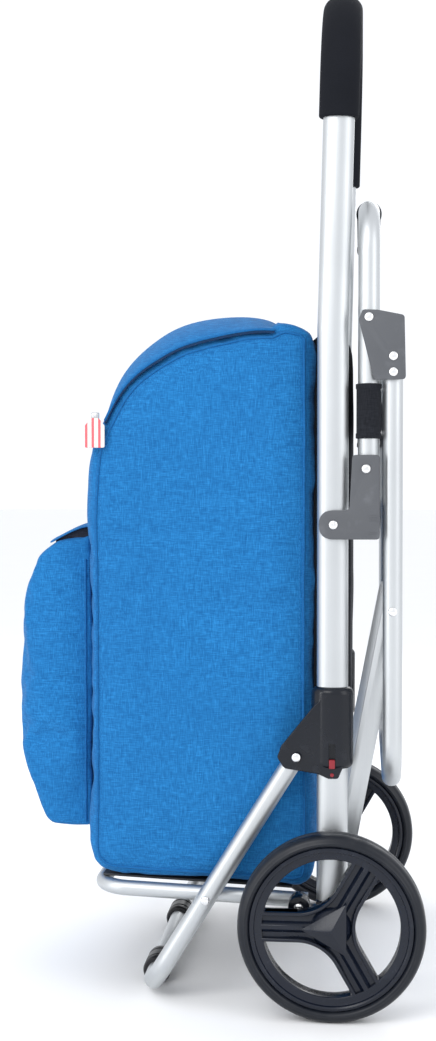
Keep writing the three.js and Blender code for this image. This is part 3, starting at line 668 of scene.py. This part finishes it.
def rivet(node, heads):
    """A rivet along Y on the left side: its outer head is the one at its lowest Y."""
    first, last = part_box(node)
    centre = (first + last) / 2
    shank = 3 * mm
    head = dome(4.7 * mm, 1.9 * mm, shank)
    outer = [(r, first.y + a) for r, a in head]
    inner = [(r, last.y - a) for r, a in reversed(head)]
    if heads == "inner":
        outer = [(0, first.y), (shank, first.y)]
    if heads == "outer":
        inner = [(shank, last.y), (0, last.y)]
    return turned(node, outer + inner, centre.x, 0, centre.z, 24)


def make_rivets():
    kinds = {"base_pivot_pin": "both", "seat_pivot_pin": "both", "collar_leg_rivet": "both",
             "leg_link_rivet": "outer", "base_link_rivet": "inner", "seat_bracket_rivet": "both",
             "leg_hinge_pin": "both", "leg_bracket_rivet_upper": "both",
             "leg_bracket_rivet_lower": "both", "leg_strut_rivet": "outer", "strut_rivet": "inner"}
    for node, heads in kinds.items():
        both_sides(rivet(node + "_left", heads), node, rivet_metal, "polished_rivet")


def make_brackets():
    seat_plate = refined("seat_pivot_bracket_left", "seat_plate", 0.9 * mm, 3)
    outer_y = low("seat_pivot_bracket_left").y
    pivot = middle("seat_pivot_pin_left")
    edge = high("seat_pivot_bracket_left").x - 2 * mm
    rib_tall = 1.3 * mm
    ribs = []
    for length, rise in in_mm((9, 8), (8, 4), (9, -9)):
        x = edge - length
        z = pivot.z + rise
        rib = [(x, z), (edge, z), (edge, z + rib_tall), (x, z + rib_tall)]
        ribs.append(slab("rib", rib, outer_y - 0.6 * mm, outer_y + 1 * mm, 0.3 * mm, 2))
    both_sides(joined("seat_plate", seat_plate, *ribs), "seat_pivot_bracket",
               bracket_plastic, "grey_plastic")

    leg_plate = refined("leg_hinge_bracket_left", "leg_plate", 0.9 * mm, 3)
    both_sides(leg_plate, "leg_hinge_bracket", bracket_plastic, "grey_plastic")
    both_sides(refined("axle_bracket_left", "axle_end", 1.2 * mm, 2), "axle_bracket",
               collar_plastic, "black_plastic")
    board = refined("base_board", "board_made", 0.9 * mm, 2)
    stands_for(board, "base_board", board_plastic, "black_plastic")


def make_collar():
    """The sliding collar: an oval sleeve round the upright, and a lug that holds the front leg."""
    first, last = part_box("collar_left")
    outer = first.y
    bottom = 250 * mm
    tongue = first.z
    top = last.z
    fresh()
    bpy.ops.mesh.primitive_cylinder_add(vertices=56, radius=1, depth=1)
    bpy.ops.object.mode_set(mode="EDIT")
    bpy.ops.transform.resize(value=(last.x - axle_x, -upright_y - outer, top - bottom))
    bpy.ops.transform.translate(value=(axle_x, -upright_y, (top + bottom) / 2))
    sleeve = soften(done("sleeve"), 7 * mm, 6, 60)
    cut(sleeve, (0, last.y, 0), (0, 1, 0))

    pivot = middle("collar_leg_rivet_left")
    x, z = pivot.x, pivot.z
    lug = rounded([
        (axle_x - 9 * mm, top - 10 * mm, 0),
        (axle_x - 18 * mm, top - 18 * mm, 8 * mm),
        (x - 15.5 * mm, z + 11 * mm, 12 * mm),
        (x - 19.8 * mm, z - 1 * mm, 5 * mm),
        (x - 12.5 * mm, z - 12 * mm, 6 * mm),
        (axle_x - 14 * mm, bottom - 5 * mm, 8 * mm),
        (axle_x - 4 * mm, tongue + 0.5 * mm, 3 * mm),
        (axle_x + 6 * mm, tongue + 0.5 * mm, 3 * mm),
        (axle_x + 11 * mm, bottom + 2 * mm, 4 * mm),
        (axle_x + 11 * mm, bottom + 14 * mm, 0),
        (axle_x - 9 * mm, bottom + 24 * mm, 0),
    ])
    beside_leg = -186.3 * mm
    cheek = slab("cheek", lug, outer + 2.9 * mm, beside_leg, 1.6 * mm, 4)
    collar = joined("collar", sleeve, cheek)
    slot_low = low("collar_latch_left").z - 0.8 * mm
    slot_high = slot_low + 26 * mm
    slot_half = 3.4 * mm
    slot_deep = 4.2 * mm
    window = [(axle_x - slot_half, slot_low), (axle_x + slot_half, slot_low),
              (axle_x + slot_half, slot_high), (axle_x - slot_half, slot_high)]
    cutter = slab("window", window, outer - 3 * mm, outer + slot_deep, 0.8 * mm, 2)
    modify(collar, "BOOLEAN", operation="DIFFERENCE", object=cutter, solver="EXACT", use_self=True)
    bpy.data.objects.remove(cutter)
    both_sides(shade(collar, 35), "collar", collar_plastic, "black_plastic")
    latch = refined("collar_latch_left", "latch", 0.7 * mm, 3)
    both_sides(latch, "collar_latch", latch_plastic, "red_plastic")
    profile = [(r, outer + along) for r, along in in_mm((0, 1.6), (1.4, 1.9), (2, 2.6), (2, 5), (0, 5))]
    tip = turned("latch_tip_left", profile, axle_x, 0, tongue + 4.5 * mm, 20)
    placed(mirrored(tip, "latch_tip_right"), latch_plastic, "red_plastic", "collars")
    placed(tip, latch_plastic, "red_plastic", "collars")


def make_feet():
    near = low("front_foot_left").y / mm
    far = high("front_foot_left").y / mm
    half = [(9, 0), (12, 0), (13.8, 0.7), (15, 2.6), (15, 9), (14, 10), (14, 12), (15, 13)]
    profile = [(r, near + along) for r, along in half]
    profile += [(r, far - along) for r, along in reversed(half)]
    foot = turned("foot", in_mm(*profile, profile[0]), middle("front_foot_left").x, 0, foot_z, 40)
    cut(foot, (0, 0, 0.1 * mm), (0, 0, -1))
    both_sides(foot, "front_foot", foot_rubber, "rubber")


# ---------------------------------------------------------------- wheels
def opening(spoke_half, fillet, rim_radius, steps=18):
    """One gap between two spokes, its point towards the hub, on the bisector at angle 0."""
    sixty = math.radians(60)
    centre = (spoke_half + fillet) / math.sin(sixty)
    inner = arc((centre, 0), fillet, 210, 150, steps)
    along = math.sqrt(rim_radius ** 2 - spoke_half ** 2)
    tip = math.degrees(sixty) - math.degrees(math.asin(spoke_half / rim_radius))
    outer = arc((0, 0), rim_radius, tip, -tip, steps)
    return inner + outer


def wheel_gap(grow):
    """The gap's outline, moved outwards by a width, as three copies about the hub."""
    spoke_half = 15.0 * mm - grow
    fillet = 44 * mm + grow
    shape = opening(spoke_half, fillet, 69.5 * mm + grow)
    gaps = []
    for bisector in (0, 120, 240):
        turn = math.radians(bisector)
        gaps.append([(axle_x + x * math.cos(turn) - z * math.sin(turn),
                      axle_z + x * math.sin(turn) + z * math.cos(turn)) for x, z in shape])
    return gaps


def wheel_ring(name, side, plane, steps):
    """A ring about the axle; side is its outline towards -Y in mm, and its far side is the same."""
    loop = [(r, plane + along) for r, along in side]
    loop += [(r, plane - along) for r, along in reversed(side)]
    return turned(name, in_mm(*loop, loop[0]), axle_x, 0, axle_z, steps)


def make_wheel():
    """Left wheel: barrel, web with three gaps, lips round the gaps, a roof on each spoke."""
    plane = middle("wheel_rim_left").y / mm
    near = [(83.3, -11.5), (82, -13.2), (79.5, -13.8), (78, -13), (77.2, -11), (75.5, -10.2),
            (72, -9.8), (70, -8.8)]
    barrel = wheel_ring("barrel", near, plane, 96)

    web_half = 5.2
    web = in_mm((0, plane - web_half), (71, plane - web_half), (71, plane + web_half),
                (0, plane + web_half))
    disc = turned("web", web, axle_x, 0, axle_z, 96)
    plane *= mm
    web_half *= mm
    lips = []
    for gap, wide in zip(wheel_gap(0), wheel_gap(3.8 * mm)):
        cutter = slab("gap", gap, plane - 20 * mm, plane + 20 * mm)
        modify(disc, "BOOLEAN", operation="DIFFERENCE", object=cutter, solver="EXACT")
        lip = slab("lip", wide, plane - 9.4 * mm, plane + 9.4 * mm)
        modify(lip, "BOOLEAN", operation="DIFFERENCE", object=cutter, solver="EXACT")
        bpy.data.objects.remove(cutter)
        lips.append(soften(lip, 1.3 * mm, 3, 50))
    soften(disc, 0.8 * mm, 2, 50)

    roofs = []
    for spoke in (180, 60, -60):
        turn = math.radians(spoke)
        out = Vector((math.cos(turn), 0, math.sin(turn)))
        side = Vector((-out.z, 0, out.x))
        for away in (-1, 1):
            base = Vector((axle_x, plane + away * (web_half - 0.5 * mm), axle_z))
            up = Vector((0, away * 4.6 * mm, 0))
            half = 6.2 * mm
            start = out * 12 * mm
            chain([base + start - side * half, base + start - side * 2 * mm + up,
                   base + start + side * 2 * mm + up, base + start + side * half])
            bpy.ops.mesh.edge_face_add()
            bpy.ops.mesh.extrude_region_move(TRANSFORM_OT_translate={"value": out * 60 * mm})
            roofs.append(soften(done("roof"), 0.6 * mm, 2, 20))

    near = low("wheel_rim_left").y / mm
    far = high("wheel_rim_left").y / mm
    profile = in_mm((8.8, near), (13.5, near), (14.6, near + 1), (21, near + 9), (21, far - 1.2),
                    (19.8, far), (8.8, far), (8.8, near))
    hub = turned("hub", profile, axle_x, 0, axle_z, 48)
    wheel = joined("wheel", barrel, disc, *lips, *roofs, hub)
    both_sides(shade(wheel, 35), "wheel_rim", wheel_plastic, "wheel_plastic")

    side = [(83.0, -13.0), (84.2, -15.2), (85.6, -16.3), (87.2, -16.6), (88.4, -15.8), (89.4, -15.4),
            (91.2, -14.6), (93.2, -12.6), (94.5, -9.6), (95.0, -6.0)]
    groove = [(95.0, -3.4), (94.2, -2.8), (94.2, -1.6), (95.0, -1.0)]
    tyre = wheel_ring("tyre", side + groove, plane / mm, 112)
    both_sides(tyre, "tyre", tyre_rubber, "tyre_rubber")

    cap_near, cap_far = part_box("hub_cap_left")
    fresh()
    bpy.ops.mesh.primitive_cone_add(vertices=3, radius1=31 * mm, radius2=3 * mm,
                                    depth=cap_far.y - cap_near.y)
    cap = bpy.context.object
    spoke_way = max((v.co for v in cap.data.vertices), key=lambda c: c.xy.length).to_2d()
    cap.data.transform(Matrix.Rotation(math.pi - math.atan2(spoke_way.y, spoke_way.x), 4, "Z"))
    cap.data.transform(Matrix.Rotation(math.radians(90), 4, "X"))
    cap.data.transform(Matrix.Translation((axle_x, (cap_near.y + cap_far.y) / 2, axle_z)))
    soften(cap, 0.7 * mm, 3, 10)
    both_sides(shade(cap, 25), "hub_cap", wheel_plastic, "wheel_plastic")
    bush = refined("wheel_bush_left", "bush", 0.5 * mm, 2)
    both_sides(bush, "wheel_bush", bracket_plastic, "nylon")


# ---------------------------------------------------------------- soft pieces
def resampled(outline, spacing):
    """A closed outline as evenly spaced points."""
    loop = [Vector(point) for point in outline]
    loop.append(loop[0])
    made = []
    spare = 0.0
    for here, there in zip(loop, loop[1:]):
        length = (there - here).length
        while spare < length:
            made.append(tuple(here.lerp(there, spare / length)))
            spare += spacing
        spare -= length
    return made


def inflated(piece, held, pressure, growth, cap, frames=16):
    """Cloth settles under a little pressure between its held seams, and moves by cap at most."""
    before = [v.co.copy() for v in piece.data.vertices]
    group = piece.vertex_groups.new(name="held")
    group.add([k for k, spot in enumerate(before) if held(spot)], 1.0, "REPLACE")
    cloth_maker = piece.modifiers.new("settle", "CLOTH")
    settings = cloth_maker.settings
    settings.quality = 5
    settings.mass = 0.25
    settings.tension_stiffness = 18
    settings.compression_stiffness = 18
    settings.shear_stiffness = 6
    settings.bending_stiffness = 0.6
    settings.use_pressure = True
    settings.uniform_pressure_force = pressure
    settings.vertex_group_mass = "held"
    settings.shrink_min = -growth
    settings.effector_weights.gravity = 0
    cloth_maker.collision_settings.use_collision = False
    cloth_maker.point_cache.frame_end = frames
    scene = bpy.context.scene
    for number in range(1, frames + 1):
        scene.frame_set(number)
    picked(piece)
    bpy.ops.object.modifier_apply(modifier="settle")
    scene.frame_set(1)
    for spot, start in zip(piece.data.vertices, before):
        move = spot.co - start
        if move.length > cap:
            spot.co = start + move.normalized() * cap
    piece.vertex_groups.clear()


def soft_block(name, outline, half, edge, voxel):
    """A closed cloth body: side-view outline, thickness along Y, rounded edges, even faces."""
    body = slab(name, outline, -half, half, edge, 4)
    modify(body, "REMESH", mode="VOXEL", voxel_size=voxel)
    modify(body, "SMOOTH", factor=0.5, iterations=4)
    return body


def sheet_of(name, rows, across, spot):
    """A sheet: spot gives its point for a share of the rows and a place from -1 to 1 across."""
    wide = across + 1
    verts = [spot(k / rows, 2 * j / across - 1) for k in range(rows + 1) for j in range(wide)]
    corners = [k * wide + j for k in range(rows) for j in range(across)]
    mesh = bpy.data.meshes.new(name)
    mesh.from_pydata(verts, [], [(a, a + 1, a + wide + 1, a + wide) for a in corners])
    return added(name, mesh)


def opened(piece, gone):
    """Takes away the faces where a mouth is."""
    picked(piece)
    for face in piece.data.polygons:
        face.select = gone(face.center, face.normal)
    bpy.ops.object.mode_set(mode="EDIT")
    bpy.ops.mesh.select_mode(type="FACE")
    bpy.ops.mesh.delete(type="FACE")
    bpy.ops.mesh.select_mode(type="VERT")
    bpy.ops.object.mode_set(mode="OBJECT")


def lining_of(piece, name, gap):
    """The inside of a shell: the same cloth, a little smaller and facing in."""
    lining = added(name, piece.data.copy())
    for spot in lining.data.vertices:
        spot.co = spot.co - spot.normal * gap
    lining.data.flip_normals()
    return lining


def finished_shell(body, lining_name, gap, mouth, finish, slot, node):
    """Opens a closed cloth body at its mouth, and lines it."""
    opened(body, mouth)
    lining = lining_of(body, lining_name, gap)
    modify(body, "SUBSURF", levels=1, render_levels=1)
    placed(shade(body, 60), finish, slot, "frame", node)
    placed(shade(lining, 60), lining_cloth, slot, "frame")


def stitches(name, points, surface, look=thread_blue, length=2.6 * mm, pitch=4.4 * mm):
    """A row of stitches lying on a surface, along the points."""
    thick = 0.7 * mm
    fresh()
    bpy.ops.mesh.primitive_cube_add(size=1)
    pattern = bpy.context.object
    modify(pattern, "BEVEL", width=0.2, segments=1)
    shape = pattern.data.copy()
    bpy.data.objects.remove(pattern)
    verts, faces = [], []
    walked = pitch
    for here, there in zip(points, points[1:]):
        step = (there - here).length
        while walked < step:
            found, on, normal, _ = surface.closest_point_on_mesh(here.lerp(there, walked / step))
            walked += pitch
            if not found:
                continue
            way = (there - here).normalized()
            side = way.cross(normal).normalized()
            start = len(verts)
            for v in shape.vertices:
                across = side * v.co.y * thick + normal * v.co.z * thick
                verts.append(on + way * v.co.x * length + across)
            faces.extend([[start + k for k in face.vertices] for face in shape.polygons])
        walked -= step
    mesh = bpy.data.meshes.new(name)
    mesh.from_pydata(verts, [], faces)
    row = added(name, mesh)
    edited(row)
    bpy.ops.mesh.normals_make_consistent(inside=False)
    bpy.ops.object.mode_set(mode="OBJECT")
    return painted(row, look)


bag_half = high("bag_lid").y
bag_back = high("rear_pocket").x - 42 * mm
bag_front = low("bag_shell").x
bag_floor = low("bag_shell").z
bag_top = 700 * mm
hinge_x = high("bag_lid").x
shoulder_z = low("bag_lid").z

# The seam that the lid closes on, from the hinge forwards and down, in side view.
lid_seam = [(hinge_x, bag_top + 1 * mm), (hinge_x - 22 * mm, bag_top + 1 * mm),
            (hinge_x - 55 * mm, bag_top - 4 * mm), (hinge_x - 94 * mm, bag_top - 14 * mm),
            (hinge_x - 122 * mm, bag_top - 28 * mm), (hinge_x - 146 * mm, bag_top - 45 * mm),
            (hinge_x - 164 * mm, bag_top - 66 * mm), (hinge_x - 178 * mm, bag_top - 92 * mm)]


def smooth_line(points, steps=6):
    """A Catmull-Rom line through the points."""
    made = []
    ends = [points[0], *points, points[-1]]
    for a, b, c, d in zip(ends, ends[1:], ends[2:], ends[3:]):
        for k in range(steps):
            t = k / steps
            made.append(tuple(
                0.5 * (2 * q + (r - p) * t + (2 * p - 5 * q + 4 * r - s) * t * t
                       + (3 * q - p - 3 * r + s) * t ** 3)
                for p, q, r, s in zip(a, b, c, d)))
    return made + [points[-1]]


seam_line = smooth_line(lid_seam)


def bag_floor_at(x):
    """The floor of the bag lies on the board, a little higher at the front."""
    share = (bag_back - x) / (bag_back - bag_front)
    return bag_floor + 0.5 * mm + share * 10 * mm


def bag_outline():
    """The bag in side view: up the back, along the lid's seam, and down the front."""
    return rounded([
        (bag_back, bag_floor_at(bag_back), 16 * mm),
        (bag_back, bag_top + 2 * mm, 9 * mm),
        (hinge_x + 3 * mm, bag_top + 9 * mm, 0),
        *[(x, z, 0) for x, z in seam_line],
        (bag_front + 5 * mm, shoulder_z - 30 * mm, 0),
        (bag_front, shoulder_z - 100 * mm, 0),
        (bag_front, bag_floor_at(bag_front), 30 * mm),
    ])


def inner_line(outline, inset):
    """The outline moved inwards, for the seam where side panel and gusset meet."""
    count = len(outline)
    area = sum(a[0] * b[1] - b[0] * a[1] for a, b in zip(outline, outline[1:] + outline[:1]))
    turn = 1 if area > 0 else -1
    made = []
    for k, (x, z) in enumerate(outline):
        before, after = outline[k - 1], outline[(k + 1) % count]
        way = (Vector(after) - Vector(before)).normalized()
        made.append((x - turn * way.y * inset, z + turn * way.x * inset))
    return made


def creased(spot, scale, swell, depth, shift):
    """How far cloth stands out at a place: soft swells, with sharper folds running across them."""
    place = spot + Vector((shift, 0, shift))
    swells = noise.noise(place * scale) * swell
    run = noise.noise(Vector((place.x + place.z * 0.8, place.y, place.z * 1.3)) * scale * 1.7)
    fold = (1 - min(abs(run) * 4, 1)) ** 2
    reach = 0.5 + 0.5 * noise.noise(place * scale * 0.8)
    return swells - fold * depth * max(reach, 0)


def make_bag():
    edge = 11 * mm
    outline = bag_outline()
    bag = soft_block("bag_body", outline, bag_half, edge, 7.5 * mm)
    seams = resampled(outline, 8 * mm)
    piping_line = resampled(inner_line(seams, edge * 0.8), 8 * mm)
    seam_points = [Vector(p) for p in piping_line]

    def held(spot):
        if abs(spot.y) < bag_half - 6 * mm:
            return spot.z < bag_floor_at(spot.x) + 4 * mm
        near = min((Vector((spot.x, spot.z)) - p).length_squared for p in seam_points)
        return near < (6 * mm) ** 2

    inflated(bag, held, 2.6, 0.012, 5 * mm)
    for spot in bag.data.vertices:
        spot.co += spot.normal * creased(spot.co, 8, 3.4 * mm, 3.0 * mm, 3.1)

    def mouth(centre, normal):
        inside = abs(centre.y) < bag_half - 9 * mm
        return inside and normal.z > 0.25 and shoulder_z < centre.z and centre.x < hinge_x

    finished_shell(bag, "bag_lining", 1.8 * mm, mouth, blue_cloth, "blue_fabric", "bag_shell")

    for name, side in (("left", -1), ("right", 1)):
        level = side * (bag_half - 0.6 * mm)
        snug = []
        for x, z in piping_line:
            _, on, normal, _ = bag.closest_point_on_mesh(Vector((x, level, z)))
            snug.append(on + normal * 0.6 * mm)
        piping = wound(snug, 1.5 * mm, "bag_piping_" + name, closed=True)
        placed(piping, blue_binding, "blue_fabric", "frame")
        inside = [Vector((x, level, z)) for x, z in inner_line(piping_line, 5 * mm)]
        row = stitches("bag_stitches_" + name, inside + inside[:1], bag)
        placed(row, thread_blue, "blue_fabric", "frame")


def make_lid():
    """The arched lid: a crowned panel whose sides turn down to the zip."""
    last = len(seam_line) - 1

    def spot(share, across):
        k = round(share * last)
        x, z = seam_line[k]
        way = Vector(seam_line[min(k + 1, last)]) - Vector(seam_line[max(k - 1, 0)])
        way.normalize()
        out = Vector((way.y, -way.x))
        arch = math.sin(math.pi * share) ** 0.8
        shoulder = 1.6 * mm + 6 * mm * arch
        crown = 11 * mm * (1 - share) ** 2 + 4 * mm * share + 24 * mm * arch
        turn = math.sin(across * math.pi / 2)
        rise = (1 - abs(turn) ** 5) ** 0.5
        wave = noise.noise(Vector((x * 14, turn * 2.2, z * 14))) * 1.5 * mm * rise
        lift = shoulder * rise + crown * (1 - turn * turn) + wave
        return x + out.x * lift, turn * (bag_half + 0.6 * mm), z + out.y * lift

    panel = sheet_of("bag_lid_panel", last, 44, spot)
    modify(panel, "SOLIDIFY", thickness=2.2 * mm, offset=-1)
    placed(shade(panel, 50), blue_cloth, "blue_fabric", "lid", "bag_lid")

    left = [Vector((x, -bag_half - 0.8 * mm, z)) for x, z in seam_line]
    right = [point * over_middle for point in left]
    front = [left[-1].lerp(right[-1], k / 24) for k in range(1, 24)]
    rim = wound(left + front + right[::-1], 1.3 * mm, "lid_binding")
    placed(rim, blue_binding, "blue_fabric", "lid")


def make_zip():
    """Zip along the mouth: a tape on the bag, with its teeth, from one end round to the other."""
    side = [Vector((x, -(bag_half + 0.4 * mm), z - 2.6 * mm)) for x, z in seam_line]
    front = [side[-1].lerp(side[-1] * over_middle, k / 40) for k in range(1, 40)]
    path = side + front + [point * over_middle for point in reversed(side)]
    tape = wound(path, 1.1 * mm, "zip_tape_line", sides=2)
    placed(tape, zip_tape, "blue_fabric", "frame")
    teeth = stitches("zip_teeth", path, tape, zip_teeth_nylon, 1.2 * mm, 2.2 * mm)
    placed(teeth, zip_teeth_nylon, "blue_fabric", "frame")
    slider = refined("zip_slider", "zip_slider_made", 1.0 * mm, 2)
    stands_for(slider, "zip_slider", axle_steel, "steel")
    tab = refined("zip_pull_tab", "pull_tab_made", 0.6 * mm, 3)
    stands_for(tab, "zip_pull_tab", tab_tape, "tab_fabric")


def make_front_pocket():
    rear = high("front_pocket").x
    front = low("front_pocket").x
    bottom = low("front_pocket").z
    half = high("front_pocket").y
    top = high("front_pocket").z
    fore = front - 8 * mm
    outline = rounded([
        (rear, bottom, 3 * mm),
        (rear, top - 10 * mm, 0),
        (front + 32 * mm, top - 17 * mm, 12 * mm),
        (front + 10 * mm, top - 34 * mm, 26 * mm),
        (fore + 2 * mm, top - 90 * mm, 60 * mm),
        (fore, top - 170 * mm, 80 * mm),
        (fore + 5 * mm, bottom + 60 * mm, 50 * mm),
        (front + 20 * mm, bottom + 1 * mm, 14 * mm),
    ])
    pocket = soft_block("front_pocket_body", outline, half, 9 * mm, 6 * mm)

    def held(spot):
        return spot.x > rear - 5 * mm

    inflated(pocket, held, 2.2, 0.015, 7 * mm)
    for spot in pocket.data.vertices:
        spot.co += spot.normal * creased(spot.co, 12, 3.0 * mm, 2.8 * mm, 5.4)

    def mouth(centre, normal):
        inside = abs(centre.y) < half - 10 * mm
        return inside and normal.z > 0.6 and centre.z > top - 40 * mm and centre.x > front + 36 * mm

    finished_shell(pocket, "front_pocket_lining", 1.6 * mm, mouth, blue_cloth, "blue_fabric",
                   "front_pocket")

    def flap_spot(share, across):
        """The flap over the pocket's zip slopes up to the bag."""
        x = front + 22 * mm + (rear - front - 22 * mm) * share
        z = top - 17 * mm + 19 * mm * math.sin(share * math.pi / 2) ** 1.2
        z += noise.noise(Vector((x * 30, across * 4, 7))) * 1.6 * mm - 4 * mm * abs(across) ** 6
        return x, across * (half - 3 * mm), z

    flap = sheet_of("front_pocket_flap", 10, 30, flap_spot)
    modify(flap, "SOLIDIFY", thickness=2 * mm, offset=0)
    modify(flap, "SUBSURF", levels=1, render_levels=1)
    placed(shade(flap, 60), blue_cloth, "blue_fabric", "frame")

    wedge = [(rear, top - 22 * mm), (front + 28 * mm, top - 22 * mm), (front + 28 * mm, top - 17 * mm),
             (front + 44 * mm, top - 8 * mm), (rear, top - 1 * mm)]
    gusset = slab("front_pocket_gusset", wedge, -half + 8 * mm, half - 8 * mm, 2 * mm)
    placed(gusset, lining_cloth, "blue_fabric", "frame")

    spots = 40
    for name, side in (("left", -1), ("right", 1)):
        line = []
        for k in range(spots):
            z = bottom + 6 * mm + (top - 44 * mm - bottom) * k / (spots - 1)
            _, on, normal, _ = pocket.closest_point_on_mesh(Vector((rear - 7 * mm, side * half, z)))
            line.append(on + normal * 0.4 * mm)
        piping = wound(line, 1.3 * mm, "pocket_piping_" + name)
        placed(piping, blue_binding, "blue_fabric", "frame")
        forward = Vector((-5 * mm, 0, 0))
        row = stitches("pocket_stitches_" + name, [point + forward for point in line], pocket)
        placed(row, thread_blue, "blue_fabric", "frame")


def make_rear_pocket():
    first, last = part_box("rear_pocket")
    outline = rounded([
        (first.x, first.z, 2 * mm), (last.x - 2 * mm, first.z + 4 * mm, 14 * mm),
        (last.x - 2 * mm, last.z - 8 * mm, 10 * mm), (first.x, last.z, 2 * mm)])
    pocket = soft_block("rear_pocket_body", outline, last.y - 1 * mm, 7 * mm, 7 * mm)
    for spot in pocket.data.vertices:
        wave = noise.noise(spot.co * 13 + Vector((8, 2, 5)))
        spot.co += spot.normal * wave * 1.8 * mm

    def mouth(centre, normal):
        return normal.z > 0.8 and abs(centre.y) < last.y - 8 * mm and centre.z > last.z - 20 * mm

    finished_shell(pocket, "rear_pocket_lining", 1.6 * mm, mouth, black_cloth, "black_fabric",
                   "rear_pocket")


def make_sling():
    """Black cloth between the seat's side tubes, with a band round each and a sleeve on the bar."""
    tube_x = middle("seat_frame_tube").x
    wrap = seat_r + 1.6 * mm
    band_low = low("seat_sling").z
    band_high = band_low + 56 * mm
    sleeve_z = high("seat_frame_tube").z - seat_r
    sleeve_half = 122 * mm
    inner = upright_y - seat_r
    narrows_over = 60 * mm

    def spot(share, across):
        z = band_low + (sleeve_z - seat_r * 0.6 - band_low) * share
        blend = min(max((z - band_high) / narrows_over, 0), 1)
        blend = blend * blend * (3 - 2 * blend)
        half = inner * (1 - blend) + (sleeve_half - 1 * mm) * blend - 4 * mm * math.sin(share * math.pi)
        sag = 3 * mm * (1 - across * across) * math.sin(math.pi * share)
        wave = noise.noise(Vector((across * 3, z * 20, 4))) * 1.2 * mm
        return tube_x - 4 * mm + sag + wave, across * half, z

    panel = sheet_of("seat_cloth", 30, 36, spot)
    modify(panel, "SOLIDIFY", thickness=1.8 * mm, offset=0)
    placed(shade(panel, 60), black_cloth, "black_fabric", "seat", "seat_sling")

    def band(name, start, end, radius):
        """A tight band of cloth round a tube, with turned hems."""
        hem = 0.7 * mm
        axis = (end - start).normalized()
        length = (end - start).length
        marks = [0, 0.5 * mm, 5 * mm, 6 * mm, length - 6 * mm, length - 5 * mm, length - 0.5 * mm, length]
        radii = [seat_r + 0.2 * mm, radius + hem, radius + hem, radius, radius, radius + hem,
                 radius + hem, seat_r + 0.2 * mm]
        chain([Vector((r, along, 0)) for r, along in zip(radii, marks)])
        bpy.ops.mesh.spin(steps=36, angle=2 * math.pi, center=(0, 0, 0), axis=(0, 1, 0))
        piece = done(name, 50)
        turn = Vector((0, 1, 0)).rotation_difference(axis).to_matrix().to_4x4()
        piece.data.transform(Matrix.Translation(start) @ turn)
        return placed(piece, black_cloth, "black_fabric", "seat")

    parts = [band("seat_sleeve", Vector((tube_x, -sleeve_half, sleeve_z)),
                  Vector((tube_x, sleeve_half, sleeve_z)), wrap)]
    for name, side in (("left", -1), ("right", 1)):
        y = side * upright_y
        parts.append(band("seat_band_" + name, Vector((tube_x, y, band_low)),
                          Vector((tube_x, y, band_high)), wrap))
        for place, z in (("low", band_low + 5 * mm), ("high", band_high - 5 * mm)):
            stud = turned("stud", [(r, a - wrap - 1.2 * mm) for r, a in dome(3.2 * mm, 1.6 * mm, 2 * mm)]
                          + [(2 * mm, -wrap + 3 * mm), (0, -wrap + 3 * mm)], 0, 0, 0, 16)
            turn = Matrix.Rotation(math.radians(90), 4, "Z")
            stud.data.transform(Matrix.Translation((tube_x, y, z)) @ turn)
            stud.name = "sling_stud_" + place + "_" + name
            parts.append(placed(stud, rivet_metal, "polished_rivet", "seat"))


def make_loops():
    """Two webbing loops hang the bag from the crossbar."""
    bar = middle("upper_crossbar")
    radius = 8.4 * mm
    off_middle = 60 * mm
    webbing = 30 * mm
    for name, side in (("left", -1), ("right", 1)):
        arch = [(bar.x + radius * math.cos(a), bar.z + radius * math.sin(a))
                for a in (math.radians(-50 + 230 * k / 14) for k in range(15))]
        line = [(bag_back - 3 * mm, bag_top - 6 * mm), *arch, (bag_back - 2 * mm, bag_top - 16 * mm)]
        chain([Vector((x, side * off_middle, z)) for x, z in line])
        bpy.ops.mesh.extrude_region_move(TRANSFORM_OT_translate={"value": (0, side * webbing, 0)})
        loop = done("hanging_loop_" + name, 60)
        modify(loop, "SOLIDIFY", thickness=1.8 * mm, offset=0)
        placed(shade(loop, 50), black_cloth, "black_fabric", "frame")


make_tubes()
make_rivets()
make_brackets()
make_collar()
make_feet()
make_wheel()
make_bag()
make_lid()
make_zip()
make_front_pocket()
make_rear_pocket()
make_sling()
make_loops()

soft_pieces = ["bag_body", "bag_lining", "bag_lid_panel", "lid_binding", "zip_tape_line",
               "zip_teeth", "zip_slider_made", "pull_tab_made", "front_pocket_body",
               "front_pocket_lining", "front_pocket_flap", "front_pocket_gusset"]
for stem in ("bag_piping", "bag_stitches", "pocket_piping", "pocket_stitches"):
    soft_pieces += [stem + "_left", stem + "_right"]
for piece_name in soft_pieces:
    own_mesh(bpy.data.objects[piece_name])
